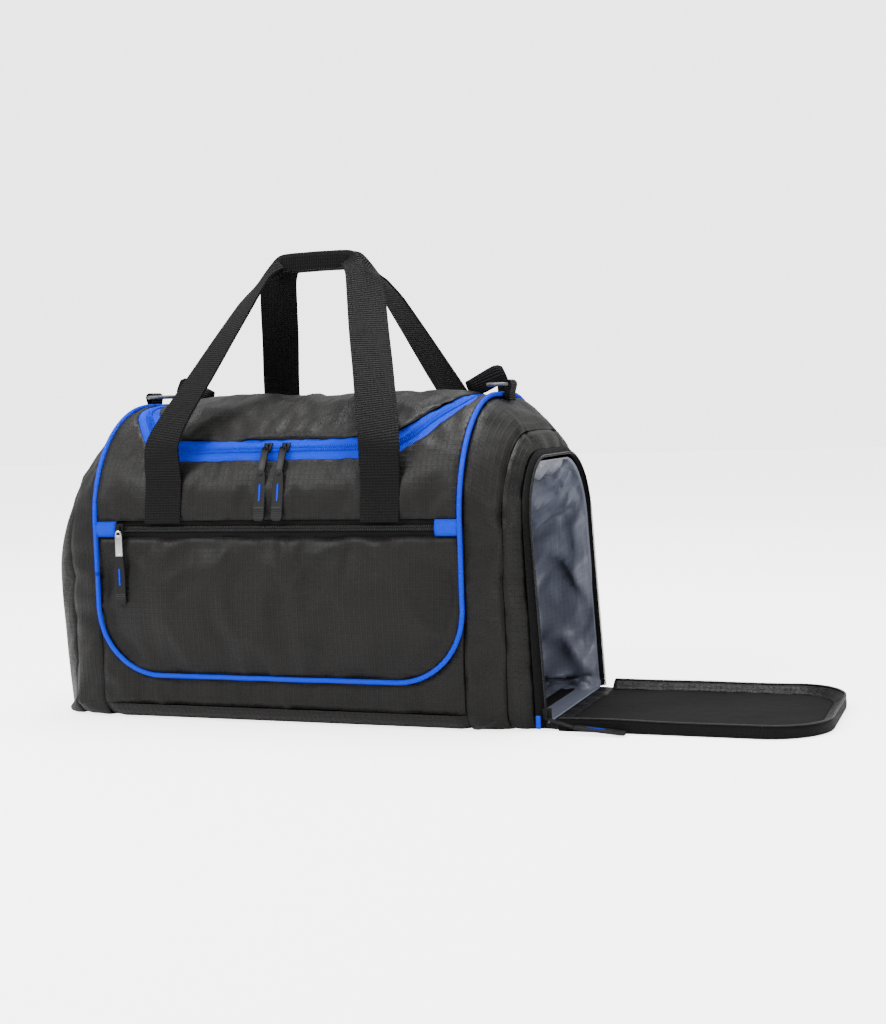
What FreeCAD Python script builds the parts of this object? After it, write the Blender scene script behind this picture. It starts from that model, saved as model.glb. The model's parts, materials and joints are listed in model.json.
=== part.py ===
"""Sports holdall with a smile-shaped top zip, a flat front pocket and an end compartment.

Millimetres.  +X points at the end compartment, -Y is the front, +Z is up.
The origin is the middle of the base, where the bag stands on the floor.
"""
import FreeCAD, Part
import Sketcher
import math
import os

from FreeCAD import Placement, Rotation
from FreeCAD import Vector as V

doc = FreeCAD.newDocument("holdall")
sheet = doc.addObject("Spreadsheet::Sheet", "Sizes")

SIZES = {
    # body of the bag
    "seam_x": 186, "half_depth": 132, "bag_height": 300, "shoulder_radius": 110,
    "base_radius": 25, "cloth": 2, "base_seam_z": 16,
    # left end
    "left_mid_x": 222, "left_mid_half_depth": 124, "left_mid_height": 258, "left_mid_radius": 98,
    "left_end_x": 242, "left_end_half_depth": 108, "left_end_height": 226, "left_end_radius": 88,
    # right end with the round-topped opening
    "right_mid_x": 222, "right_mid_half_depth": 122, "right_mid_height": 266, "right_mid_radius": 86,
    "rim_x": 250, "rim_half_depth": 103, "rim_height": 243, "rim_radius": 62, "rim_lean": 3.2,
    "mid_base_radius": 20, "end_base_radius": 8, "teeth_width": 1.2, "teeth_depth": 1.6,
    # front pocket and its zip
    "panel_bottom_z": 45, "panel_corner": 65, "pocket_zip_z": 185, "pocket_back_y": 122,
    "tape_half": 9, "chain_half": 2.6, "chain_gap": 0.5, "chain_height": 1.8,
    # top zip, measured on a plane tipped 45 degrees back
    "zip_front": 104.5, "zip_arm_x": 168, "zip_corner_x": 124, "zip_arm_start": 168,
    "lid_hinge": 245, "zip_gap": 0.4, "zip_tape": 12.5, "zip_chain": 2.7, "hinge_gap": 0.25,
    "zip_angle": 37.4, "corner_shift": 0.524, "arm_shift": 0.3125, "zip_corner_radius": 45,
    # carrying handles
    "webbing": 38, "webbing_thickness": 2.2, "handle_x": 111, "pivot_y": 129.6, "pivot_z": 230,
    "bend_y": 131, "bend_z": 262, "grip_half": 40, "grip_y": 7.5, "grip_z": 429,
    "grip_height": 19, "grip_thickness": 9, "leg_top_width": 21,
    # piping
    "cord_radius": 2.2,
    # shoe compartment
    "lining": 1.2, "lining_back_x": 128, "lining_back_height": 168, "lining_back_half": 90,
    # end flap, open on the floor
    "flap_start_x": 262.5, "flap_end_x": 497, "flap_half": 103.2, "flap_corner": 58,
    "flap_sheet": 1.6, "flap_rim": 12.4, "flap_rim_width": 3,
    "binding_outer": 3.1, "binding_inner": 11.8, "flap_lining_inset": 12,
    # sliders and their pulls
    "slider_length": 11, "slider_width": 9, "slider_height": 3.6, "rest_gap": 9.2,
    "puller_width": 6, "puller_thickness": 1.4, "tab_width": 11.5, "tab_thickness": 2.6,
    "tab_length": 47, "puller_length": 23,
    # shoulder strap rings
    "ring_radius": 13, "ring_wire": 2, "ring_z": 311,
    # webbing tabs at the ends of the top zip
    "end_tab_length": 36, "end_tab_width": 8, "end_tab_thickness": 13, "end_tab_slope": 34,
    "end_tab_x": 181, "end_tab_y": 24, "end_tab_z": 324.5,
}
for row, (alias, number) in enumerate(SIZES.items(), start=1):
    sheet.set("A%d" % row, alias)
    sheet.set("B%d" % row, str(number))
    sheet.setAlias("B%d" % row, alias)
doc.recompute()

finished = []


def size(formula):
    """A formula in the sheet's words, written the way FreeCAD wants it."""
    words = []
    for piece in formula.replace("(", " ( ").replace(")", " ) ").split():
        words.append("Sizes." + piece if piece in SIZES else piece)
    return " ".join(words)


def value(formula):
    scope = {word: SIZES[word] for word in SIZES}
    total, sign = 0.0, 1
    for piece in formula.split():
        if piece in "+-":
            sign = 1 if piece == "+" else -1
            continue
        product = 1.0
        total += sign * product * (scope[piece] if piece in scope else float(piece))
    return total


def keep(shape_object, node):
    """Mark an object as a finished sub-part."""
    shape_object.Label = node
    finished.append(shape_object)
    return shape_object


# ---------------------------------------------------------------- sketches

def plane_of(body, role):
    return [item for item in body.Origin.OriginFeatures if item.Role == role][0]


def attached_sketch(body, role, across="0", along="0", height="0", lean=False):
    """A sketch on one of the body's own planes, pushed off it by three formulas."""
    sketch = body.newObject("Sketcher::SketchObject", body.Name + "_outline")
    sketch.AttachmentSupport = [(plane_of(body, role), "")]
    sketch.MapMode = "FlatFace"
    sketch.AttachmentOffset = Placement(V(0, 0, 0), Rotation(V(-1, 0, 0), 3.2 if lean else 0))
    if lean:
        sketch.setExpression("AttachmentOffset.Rotation.Angle", size("rim_lean"))
    for axis, formula in (("x", across), ("y", along), ("z", height)):
        if formula != "0":
            sketch.setExpression("AttachmentOffset.Base." + axis, size(formula))
    return sketch


def line(ax, ay, bx, by):
    return Part.LineSegment(V(ax, ay, 0), V(bx, by, 0))


def corner(cx, cy, radius, start, end):
    circle = Part.Circle(V(cx, cy, 0), V(0, 0, 1), radius)
    return Part.ArcOfCircle(circle, math.radians(start), math.radians(end))


def draw_arch(sketch, half, top, upper, lower):
    """A box outline standing on the sketch's own x axis, with round upper and lower corners."""
    w, t, r, b = value(half), value(top), value(upper), value(lower)
    sketch.addGeometry([
        line(-w + r, t, w - r, t), corner(w - r, t - r, r, 0, 90), line(w, t - r, w, b),
        corner(w - b, b, b, 270, 360), line(w - b, 0, -w + b, 0), corner(-w + b, b, b, 180, 270),
        line(-w, b, -w, t - r), corner(-w + r, t - r, r, 90, 180)], False)
    add = sketch.addConstraint
    rule = Sketcher.Constraint
    for first, end, second, start in ((0, 2, 1, 2), (1, 1, 2, 1), (2, 2, 3, 2), (3, 1, 4, 1),
                                      (4, 2, 5, 2), (5, 1, 6, 1), (6, 2, 7, 2), (7, 1, 0, 1)):
        add(rule("Tangent", first, end, second, start))
    add(rule("Vertical", 2))
    add(rule("Vertical", 6))
    add(rule("PointOnObject", 4, 1, -1))
    add(rule("PointOnObject", 4, 2, -1))
    add(rule("Symmetric", 0, 1, 0, 2, -2))
    add(rule("Equal", 1, 7))
    add(rule("Equal", 3, 5))
    named = (("half", rule("DistanceX", -1, 1, 2, 1, w), half),
             ("top", rule("DistanceY", -1, 1, 0, 1, t), top),
             ("upper", rule("Radius", 1, r), upper), ("lower", rule("Radius", 3, b), lower))
    for name, constraint, formula in named:
        index = add(constraint)
        sketch.renameConstraint(index, name)
        sketch.setExpression("Constraints." + name, size(formula))


def draw_rectangle(sketch, width, depth):
    """A rectangle centred on the sketch's origin."""
    w, d = value(width) / 2, value(depth) / 2
    sketch.addGeometry([line(-w, -d, w, -d), line(w, -d, w, d), line(w, d, -w, d),
                        line(-w, d, -w, -d)], False)
    rule = Sketcher.Constraint
    for index in range(4):
        sketch.addConstraint(rule("Coincident", index, 2, (index + 1) % 4, 1))
    sketch.addConstraint(rule("Horizontal", 0))
    sketch.addConstraint(rule("Vertical", 1))
    sketch.addConstraint(rule("Horizontal", 2))
    sketch.addConstraint(rule("Vertical", 3))
    sketch.addConstraint(rule("Symmetric", 0, 1, 2, 1, -1, 1))
    across = sketch.addConstraint(rule("DistanceX", 0, 1, 0, 2, 2 * w))
    sketch.renameConstraint(across, "across")
    sketch.setExpression("Constraints.across", size(width))
    deep = sketch.addConstraint(rule("DistanceY", 1, 1, 1, 2, 2 * d))
    sketch.renameConstraint(deep, "deep")
    sketch.setExpression("Constraints.deep", size(depth))


# ------------------------------------------------------------ solid helpers

def new_body(name):
    return doc.addObject("PartDesign::Body", name)


def arch_tube(name, outset, inset):
    """The bag's cross-section run between the two piped seams, as a hollow skin."""
    body = new_body(name)
    for kind, sign, change in (("Pad", "+", outset), ("Pocket", "-", inset)):
        lift = "0 - " + change if kind == "Pad" else "0 + " + change
        sketch = attached_sketch(body, "YZ_Plane", along=lift)
        grow = " %s %s" % (sign, change)
        draw_arch(sketch, "half_depth" + grow, "bag_height" + grow + grow,
                  "shoulder_radius" + grow, "base_radius" + grow)
        step = body.newObject("PartDesign::" + kind, name + "_" + kind.lower())
        step.Profile = sketch
        step.Midplane = True
        step.setExpression("Length", size("seam_x + seam_x"))
    return body


def shell_between(name, first, second, closed=False):
    """A hollow run of cloth lofted between two arch sections."""
    body = new_body(name)
    for kind, drop in (("Additive", "0"), ("Subtractive", "cloth")):
        profiles = []
        for number, (x, half, top, upper, lower, lean) in enumerate((first, second)):
            if closed and kind == "Subtractive" and number == 1:
                x = x + (" + cloth" if x.startswith("0 -") else " - cloth")
            sketch = attached_sketch(body, "YZ_Plane", height=x, along="0 + " + drop, lean=lean)
            draw_arch(sketch, half + " - " + drop, top + " - " + drop + " - " + drop,
                      upper + " - " + drop, lower + " - " + drop)
            profiles.append(sketch)
        step = body.newObject("PartDesign::%sLoft" % kind, name + "_" + kind.lower())
        step.Profile = profiles[0]
        step.Sections = [profiles[1]]
        step.Ruled = True
    return body


def block(name, length, width, height, x="0", y="0", z="0"):
    made = doc.addObject("Part::Box", name)
    for prop, formula in (("Length", length), ("Width", width), ("Height", height)):
        made.setExpression(prop, size(formula))
    for axis, formula in (("x", x), ("y", y), ("z", z)):
        made.setExpression("Placement.Base." + axis, size(formula))
    return made


def common(name, *pieces):
    made = doc.addObject("Part::MultiCommon", name)
    made.Shapes = list(pieces)
    return made


def fuse(name, *pieces):
    made = doc.addObject("Part::MultiFuse", name)
    made.Shapes = list(pieces)
    return made


def cut(name, base, tool):
    made = doc.addObject("Part::Cut", name)
    made.Base = base
    made.Tool = tool
    return made


def mirror(name, source, normal):
    made = doc.addObject("Part::Mirroring", name)
    made.Source = source
    made.Normal = normal
    return made


# -------------------------------------------------------- the bag's own cloth

tube = arch_tube("cloth_tube", "0", "cloth")
zip_layer = arch_tube("zip_layer", "chain_height", "0")

below_seam = block("below_seam", "400 + 10", "400", "base_seam_z", "0 - 205", "0 - 200")
front_half = block("front_half", "410", "190", "400", "0 - 205", "0 - 200", "base_seam_z")
rear_half = block("rear_half", "410", "210", "400", "0 - 205", "0 - 10", "base_seam_z")

# The piped outline of the front and rear panels, run straight through the bag.
outline_body = new_body("panel_outline")
outline = attached_sketch(outline_body, "XZ_Plane", along="panel_bottom_z")
draw_arch(outline, "seam_x + 1", "bag_height", "1", "panel_corner")
run = outline_body.newObject("PartDesign::Pad", "panel_run")
run.Profile = outline
run.Midplane = True
run.Length = 400

def zip_prism(name, outset):
    """Everything inside the top zip's path, moved outwards by a formula.

    The path is drawn on a plane tipped 45 degrees and run out through the cloth.
    """
    rule = Sketcher.Constraint
    body = new_body(name)
    sketch = attached_sketch(body, "XY_Plane")
    sketch.AttachmentOffset = Placement(V(0, -85, 85), Rotation(V(1, 0, 0), 45))
    front = "zip_front - ( %s )" % outset
    corner_x = "zip_corner_x + corner_shift * ( %s )" % outset
    arm = "zip_arm_x + %s" % outset
    start = "zip_arm_start - arm_shift * ( %s )" % outset
    grown = value(outset)
    low, side = SIZES["zip_front"] - grown, SIZES["zip_arm_x"] + grown
    inner = SIZES["zip_corner_x"] + SIZES["corner_shift"] * grown
    level = SIZES["zip_arm_start"] - SIZES["arm_shift"] * grown
    points = [(-inner, low), (inner, low), (side, level), (side, 300), (-side, 300), (-side, level)]
    for index, here in enumerate(points):
        there = points[(index + 1) % 6]
        sketch.addGeometry(line(here[0], here[1], there[0], there[1]), False)
    for index in range(6):
        sketch.addConstraint(rule("Coincident", index, 2, (index + 1) % 6, 1))
    sketch.addConstraint(rule("Vertical", 2))
    sketch.addConstraint(rule("Vertical", 4))
    sketch.addConstraint(rule("Symmetric", 0, 1, 0, 2, -2))
    sketch.addConstraint(rule("Symmetric", 3, 1, 3, 2, -2))
    sketch.addConstraint(rule("Equal", 1, 5))
    for label, constraint, formula in (
            ("front", rule("DistanceY", -1, 1, 0, 1, low), front),
            ("corner_x", rule("DistanceX", -1, 1, 0, 2, inner), corner_x),
            ("arm", rule("DistanceX", -1, 1, 1, 2, side), arm),
            ("start", rule("DistanceY", -1, 1, 1, 2, level), start),
            ("back", rule("DistanceY", -1, 1, 2, 2, 300), "300")):
        index = sketch.addConstraint(constraint)
        sketch.renameConstraint(index, label)
        sketch.setExpression("Constraints." + label, size(formula))
    pad = body.newObject("PartDesign::Pad", name + "_run")
    pad.Profile = sketch
    pad.Length = 230
    doc.recompute()
    picked = []
    for index, edge in enumerate(pad.Shape.Edges, start=1):
        ends = [vertex.Point for vertex in edge.Vertexes]
        tipped = [(point.y + point.z) * math.sqrt(0.5) for point in ends]
        if abs(ends[0].x - ends[1].x) < 0.01 and abs(tipped[0] - tipped[1]) < 0.01 and tipped[0] < 250:
            picked.append("Edge%d" % index)
    fillet = body.newObject("PartDesign::Fillet", name + "_corners")
    fillet.Base = (pad, picked)
    fillet.setExpression("Radius", size("zip_corner_radius + %s" % outset))
    return body


outer_edge = zip_prism("outer_edge", "zip_gap + zip_tape")
outer_chain = zip_prism("outer_chain", "zip_gap + zip_chain")
outer_gap = zip_prism("outer_gap", "zip_gap")
inner_gap = zip_prism("inner_gap", "0 - zip_gap")
inner_chain = zip_prism("inner_chain", "0 - zip_gap - zip_chain")
inner_edge = zip_prism("inner_edge", "0 - zip_gap - zip_tape")


def tipped_block(name, low, high):
    """A block between two lines of the tipped plane, reaching out through the cloth."""
    made = doc.addObject("Part::Box", name)
    made.Placement = Placement(V(-205, 0, 0), Rotation(V(1, 0, 0), 45))
    made.Length = 410
    made.setExpression("Width", size(high + " - " + low))
    made.setExpression("Height", size("300"))
    made.setExpression("Placement.Base.y", "(" + size(low) + ") * cos(45deg) - 70")
    made.setExpression("Placement.Base.z", "(" + size(low) + ") * cos(45deg) + 70")
    return made


top_front = tipped_block("top_front", "10", "lid_hinge - hinge_gap")
behind_lid = tipped_block("behind_lid", "10", "lid_hinge + hinge_gap")
rear_region = cut("rear_region", rear_half, behind_lid)

pocket_region = block("pocket_region", "410", "190", "140", "0 - 205", "0 - 200",
                      "pocket_zip_z - tape_half - 140")
upper_tape_region = block("upper_tape_region", "410", "190", "tape_half - chain_gap",
                          "0 - 205", "0 - 200", "pocket_zip_z + chain_gap")
lower_tape_region = block("lower_tape_region", "410", "190", "tape_half - chain_gap",
                          "0 - 205", "0 - 200", "pocket_zip_z - tape_half")

keep(common("base_cut", tube, below_seam), "base_panel")
keep(cut("front_band_cut", common("front_band", tube, front_half), outline_body), "front_lower_band")
rear_cloth = common("rear_cloth", tube, rear_region)
keep(cut("rear_band_cut", rear_cloth, outline_body), "rear_lower_band")
keep(common("rear_panel_cut", rear_cloth, outline_body), "rear_panel")
keep(common("pocket_cut", tube, pocket_region, outline_body), "front_pocket_panel")
keep(common("upper_tape_cut", tube, upper_tape_region), "pocket_zip_tape_upper")
keep(common("lower_tape_cut", tube, lower_tape_region), "pocket_zip_tape_lower")

above_pocket_only = block("above_only", "410", "400", "240", "0 - 205", "0 - 200",
                          "pocket_zip_z + tape_half")
yoke_upper = common("yoke_upper", tube, above_pocket_only, top_front)
keep(cut("yoke_cut", yoke_upper, outer_edge), "front_yoke")
top_cloth = common("top_cloth", tube, top_front, above_pocket_only)
top_layer = common("top_layer", zip_layer, top_front, above_pocket_only)
keep(common("lid_cut", top_cloth, inner_edge), "lid_panel")
keep(common("lid_tape_cut", top_cloth, cut("lid_tape_run", inner_gap, inner_edge)), "top_zip_tape_lid")
keep(common("body_tape_cut", top_cloth, cut("body_tape_run", outer_edge, outer_gap)),
     "top_zip_tape_body")
keep(common("lid_chain_cut", top_layer, cut("lid_chain_run", inner_gap, inner_chain)),
     "top_zip_teeth_lid")
keep(common("body_chain_cut", top_layer, cut("body_chain_run", outer_chain, outer_gap)),
     "top_zip_teeth_body")

pocket_chain = block("pocket_chain", "seam_x + seam_x - 48", "chain_height", "chain_half + chain_half",
                     "0 - seam_x + 24", "0 - half_depth - chain_height - 0.05",
                     "pocket_zip_z - chain_half")
keep(pocket_chain, "pocket_zip_teeth")
keep(block("pocket_rear", "seam_x + seam_x - 12", "1.5", "150", "0 - seam_x + 6", "0 - pocket_back_y",
           "panel_bottom_z"), "pocket_back")
for side, where in (("left", "0 - seam_x + 3"), ("right", "seam_x - 23")):
    keep(block("zip_end_" + side, "20", "1.6", "15", where, "0 - half_depth - 2.1",
               "pocket_zip_z - 7.5"), "pocket_zip_end_" + side)
keep(block("board", "seam_x + seam_x - 70", "half_depth + half_depth - 54", "2.4", "0 - seam_x + 6",
           "0 - half_depth + 27", "cloth + 0.2"), "base_board")

# ------------------------------------------------------------------ the two ends

left_seam = ("0 - seam_x", "half_depth", "bag_height", "shoulder_radius", "base_radius", False)
left_mid = ("0 - left_mid_x", "left_mid_half_depth", "left_mid_height", "left_mid_radius",
            "mid_base_radius", False)
left_end = ("0 - left_end_x", "left_end_half_depth", "left_end_height", "left_end_radius",
            "end_base_radius", False)
right_seam = ("seam_x", "half_depth", "bag_height", "shoulder_radius", "base_radius", False)
right_mid = ("right_mid_x", "right_mid_half_depth", "right_mid_height", "right_mid_radius",
             "mid_base_radius", False)
rim = ("rim_x", "rim_half_depth", "rim_height", "rim_radius", "end_base_radius", True)
keep(shell_between("left_gusset", left_seam, left_mid), "left_gusset")
keep(shell_between("left_end", left_mid, left_end, closed=True), "left_end_panel")
keep(shell_between("right_gusset", right_seam, right_mid), "right_gusset")
keep(shell_between("surround", right_mid, rim), "compartment_surround")


def rim_ring(name, first, depth, outset, inset):
    """A ring standing on the leaning rim, from one formula along the rim's normal."""
    body = new_body(name)
    for kind, change in (("Pad", " + %s" % outset), ("Pocket", " - %s" % inset)):
        lift = "0 - " + outset if kind == "Pad" else "0 + " + inset
        sketch = attached_sketch(body, "YZ_Plane", height="rim_x + " + first, along=lift, lean=True)
        draw_arch(sketch, "rim_half_depth" + change, "rim_height" + change + change,
                  "rim_radius" + change, "end_base_radius" + change)
        step = body.newObject("PartDesign::" + kind, name + "_" + kind.lower())
        step.Profile = sketch
        step.setExpression("Length", size(depth))
        if kind == "Pocket":
            step.Reversed = True
    return body


above_rim_base = block("above_rim_base", "80", "240", "260", "220", "0 - 120", "14")
tape_ring = rim_ring("rim_tape_ring", "0.05", "2.4", "0", "cloth")
keep(tape_ring, "end_zip_tape_body")
teeth_ring = rim_ring("rim_teeth_ring", "2.5", "teeth_depth", "0.2", "teeth_width")
keep(common("rim_teeth_cut", teeth_ring, above_rim_base), "end_zip_teeth_body")

# Shoe tunnel: a tapering sack from the rim back into the bag, closed at its far end.
tunnel = new_body("tunnel")
for kind, drop, back in (("Additive", "0", "lining_back_x"),
                         ("Subtractive", "lining", "lining_back_x + lining")):
    sections = []
    mouth = attached_sketch(tunnel, "YZ_Plane", height="rim_x - 0.4", along="cloth + 0.3 + " + drop,
                            lean=True)
    draw_arch(mouth, "rim_half_depth - cloth - 0.4 - " + drop, "rim_height - 5 - %s - %s" % (drop, drop),
              "rim_radius - cloth - " + drop, "end_base_radius - cloth - " + drop)
    deep = attached_sketch(tunnel, "YZ_Plane", height=back, along="cloth + 3.2 + " + drop)
    draw_arch(deep, "lining_back_half - " + drop, "lining_back_height - %s - %s" % (drop, drop),
              "rim_radius - cloth - " + drop, "end_base_radius - cloth - " + drop)
    step = tunnel.newObject("PartDesign::%sLoft" % kind, "tunnel_" + kind.lower())
    step.Profile = mouth
    step.Sections = [deep]
    step.Ruled = True
keep(tunnel, "shoe_lining")

# ----------------------------------------------------------------------- piping


def swept_cord(name, edges, start, direction):
    path = doc.addObject("Part::Feature", name + "_path")
    path.Shape = Part.Wire(edges)
    made = doc.addObject("Part::Feature", name)
    circle = Part.Wire(Part.Circle(start, direction, SIZES["cord_radius"]).toShape())
    made.Shape = Part.Wire(edges).makePipeShell([circle], True, False, 2)
    return made


half, cord, high = SIZES["half_depth"], SIZES["cord_radius"] + 0.1, SIZES["bag_height"]
round_r, seam, bottom = SIZES["shoulder_radius"], SIZES["seam_x"], SIZES["panel_bottom_z"]
turn = SIZES["panel_corner"]


def arc(first, middle, last):
    return Part.Arc(first, middle, last).toShape()


def ridge(side):
    """The cord over the top at one end, from the front foot corner to the rear one."""
    y0, z0 = half + cord, high - round_r
    c = half - round_r
    r = round_r + cord
    k = r * math.sqrt(0.5)
    x = side * seam
    inner = side * (seam - turn)
    bend = side * (seam - turn + turn * math.sqrt(0.5))
    foot = bottom + turn - turn * math.sqrt(0.5)
    return [
        arc(V(inner, -y0, bottom), V(bend, -y0, foot), V(x, -y0, bottom + turn)),
        Part.makeLine(V(x, -y0, bottom + turn), V(x, -y0, z0)),
        arc(V(x, -y0, z0), V(x, -c - k, z0 + k), V(x, -c, high + cord)),
        Part.makeLine(V(x, -c, high + cord), V(x, c, high + cord)),
        arc(V(x, c, high + cord), V(x, c + k, z0 + k), V(x, y0, z0)),
        Part.makeLine(V(x, y0, z0), V(x, y0, bottom + turn)),
        arc(V(x, y0, bottom + turn), V(bend, y0, foot), V(inner, y0, bottom)),
    ]


for label, side in (("left", -1), ("right", 1)):
    run = ridge(side)
    start = V(side * (seam - turn), -(half + cord), bottom)
    keep(swept_cord("cord_" + label, run, start, V(1, 0, 0)), "piping_" + label)
for label, side in (("front", -1), ("rear", 1)):
    rod = doc.addObject("Part::Cylinder", "cord_" + label)
    rod.Placement = Placement(V(0, 0, 0), Rotation(V(0, 1, 0), 90))
    rod.setExpression("Radius", size("cord_radius"))
    rod.setExpression("Height", size("seam_x + seam_x - panel_corner - panel_corner - 0.2"))
    rod.setExpression("Placement.Base.x", size("panel_corner - seam_x + 0.1"))
    rod.setExpression("Placement.Base.y", "%d * (%s)" % (side, size("half_depth + cord_radius + 0.1")))
    rod.setExpression("Placement.Base.z", size("panel_bottom_z"))
    keep(rod, "piping_" + label)

# ---------------------------------------------------------------------- handles


def handle_body(name):
    body = new_body(name)
    levels = (("pivot_z + 3.2", "handle_x", "0 - pivot_y", "webbing", "webbing_thickness"),
              ("bend_z", "handle_x", "0 - bend_y", "webbing", "webbing_thickness + 0.6"),
              ("grip_z + 1", "grip_half + 12", "0 - grip_y", "leg_top_width", "grip_thickness"))
    sketches = []
    for level, x, y, width, depth in levels:
        sketch = attached_sketch(body, "XY_Plane", across=x, along=y, height=level)
        draw_rectangle(sketch, width, depth)
        sketches.append(sketch)
    leg = body.newObject("PartDesign::AdditiveLoft", name + "_leg")
    leg.Profile = sketches[0]
    leg.Sections = sketches[1:]
    leg.Ruled = True
    pair = body.newObject("PartDesign::Mirrored", name + "_legs")
    pair.Originals = [leg]
    pair.MirrorPlane = (plane_of(body, "YZ_Plane"), [""])
    body.Tip = pair
    grip_sketch = attached_sketch(body, "XY_Plane", along="0 - grip_y", height="grip_z")
    draw_rectangle(grip_sketch, "grip_half + grip_half + 24 + leg_top_width", "grip_thickness")
    grip = body.newObject("PartDesign::Pad", name + "_grip")
    grip.Profile = grip_sketch
    grip.setExpression("Length", size("grip_height"))
    return body


front_handle = keep(handle_body("front_loop"), "front_handle")
keep(mirror("rear_loop", front_handle, V(0, 1, 0)), "rear_handle")

anchors = []
for label, side in (("left", -1), ("right", 1)):
    patch = doc.addObject("Part::Box", "patch_" + label)
    patch.setExpression("Length", size("webbing"))
    patch.setExpression("Width", size("webbing_thickness"))
    patch.Height = 37
    patch.Placement = Placement(V(0, 0, 0), Rotation(V(1, 0, 0), -7.2))
    patch.setExpression("Placement.Base.x", "%d * %s - %s / 2" % (side, size("handle_x"), size("webbing")))
    patch.setExpression("Placement.Base.y", size("0 - pivot_y - 5.8"))
    patch.setExpression("Placement.Base.z", size("pivot_z - 37.2"))
    keep(patch, "front_handle_patch_" + label)
    keep(mirror("rear_patch_" + label, patch, V(0, 1, 0)), "rear_handle_patch_" + label)

# ---------------------------------------------------------- zip sliders and pulls


def slider_body(name):
    """Slider: a plate with its sides drawn in, a crown arch on top; x runs along the zip."""
    plate = doc.addObject("Part::Box", name + "_plate")
    for prop, formula in (("Length", "slider_width"), ("Width", "slider_length"),
                          ("Height", "slider_height - 1.6")):
        plate.setExpression(prop, size(formula))
    plate.setExpression("Placement.Base.x", size("0 - slider_width / 2"))
    plate.setExpression("Placement.Base.y", size("0 - slider_length / 2"))
    rounded = doc.addObject("Part::Fillet", name + "_round")
    rounded.Base = plate
    doc.recompute()
    upright = [index for index, edge in enumerate(plate.Shape.Edges, start=1)
               if abs(edge.Vertexes[0].Point.z - edge.Vertexes[1].Point.z) > 0.5]
    rounded.Edges = [(index, 1.5, 1.5) for index in upright]
    crown = doc.addObject("Part::Box", name + "_crown")
    crown.Length = 3
    crown.Width = 7
    crown.setExpression("Height", size("slider_height - 0.4"))
    crown.Placement.Base = V(-1.5, -3.5, 0)
    return fuse(name, rounded, crown)


def bar(name, width, thickness, length, hole):
    """A flat link hanging down -y from its hinge line, with an eye at the far end."""
    strip = doc.addObject("Part::Box", name + "_strip")
    strip.setExpression("Length", size(width))
    strip.setExpression("Width", size(length))
    strip.setExpression("Height", size(thickness))
    strip.setExpression("Placement.Base.x", "0 - " + size(width) + " / 2")
    strip.setExpression("Placement.Base.y", "0 - " + size(length))
    strip.setExpression("Placement.Base.z", "0 - " + size(thickness) + " / 2")
    eye = doc.addObject("Part::Box", name + "_eye")
    eye.Length = hole
    eye.Width = 6
    eye.Height = 10
    eye.setExpression("Placement.Base.x", "0 - %s / 2" % hole)
    eye.setExpression("Placement.Base.y", "0 - " + size(length) + " + 1.2")
    eye.Placement.Base.z = -5
    return cut(name, strip, eye)


def tab(name):
    """Moulded pull tab: a long rounded tongue hanging from its hinge line."""
    body = new_body(name + "_body")
    sketch = attached_sketch(body, "XY_Plane", along="0 - tab_length", height="0 - 1.3")
    draw_arch(sketch, "tab_width - 5.75", "tab_length", "4", "4")
    pad = body.newObject("PartDesign::Pad", name + "_pad")
    pad.Profile = sketch
    pad.setExpression("Length", size("tab_thickness"))
    return body


def place(item, base, turns):
    """Give a finished piece its place: a list of (axis, degrees) turns, first one first."""
    turned = Rotation()
    for axis, degrees in turns:
        turned = Rotation(V(*axis), degrees).multiply(turned)
    item.Placement = Placement(V(*base), turned)


def on_shoulder(angle, lift):
    """Y and Z of a point that far off the front shoulder, at an angle above the horizontal."""
    reach = SIZES["shoulder_radius"] + lift
    turn_by = math.radians(angle)
    y = -(SIZES["half_depth"] - SIZES["shoulder_radius"]) - reach * math.cos(turn_by)
    z = SIZES["bag_height"] - SIZES["shoulder_radius"] + reach * math.sin(turn_by)
    return y, z


def hanging(item, x, top, foot):
    """Hang a flat piece from a hinge point towards a lower one, in a plane of constant x."""
    lean = math.degrees(math.atan2(top[1] - foot[1], top[0] - foot[0]))
    place(item, (x, top[0], top[1]), [((1, 0, 0), lean)])


angle = SIZES["zip_angle"]
for label, side in (("left", -1), ("right", 1)):
    x = side * SIZES["rest_gap"]
    slider = slider_body("top_slider_" + label)
    y, z = on_shoulder(angle, SIZES["chain_height"] + 0.45)
    place(slider, (x, y, z), [((1, 0, 0), 90 - angle)])
    keep(slider, "top_slider_" + label)
    hook = on_shoulder(angle - 1, 7.2)
    knuckle = on_shoulder(angle - 12.8, 6.2)
    link = bar("top_puller_" + label, "puller_width", "puller_thickness", "puller_length", 3)
    hanging(link, x, hook, knuckle)
    keep(link, "top_puller_" + label)
    joint = on_shoulder(angle - 13.3, 6.0)
    end = on_shoulder(1.2, 5.6)
    tongue = tab("top_pull_tab_" + label)
    hanging(tongue, x, joint, end)
    keep(tongue, "top_pull_tab_" + label)

front = -SIZES["half_depth"]
pocket_slider = slider_body("pocket_slider")
place(pocket_slider, (-158, front - SIZES["chain_height"] - 0.45, SIZES["pocket_zip_z"]),
      [((1, 0, 0), 90)])
keep(pocket_slider, "pocket_slider")
pocket_puller = bar("pocket_puller", "puller_width", "puller_thickness", "puller_length", 3)
place(pocket_puller, (-158, front - 6.9, 183), [((1, 0, 0), 90)])
keep(pocket_puller, "pocket_puller")
pocket_tab = tab("pocket_pull_tab")
place(pocket_tab, (-158, front - 6.9, 159.2), [((1, 0, 0), 90)])
keep(pocket_tab, "pocket_pull_tab")

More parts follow.
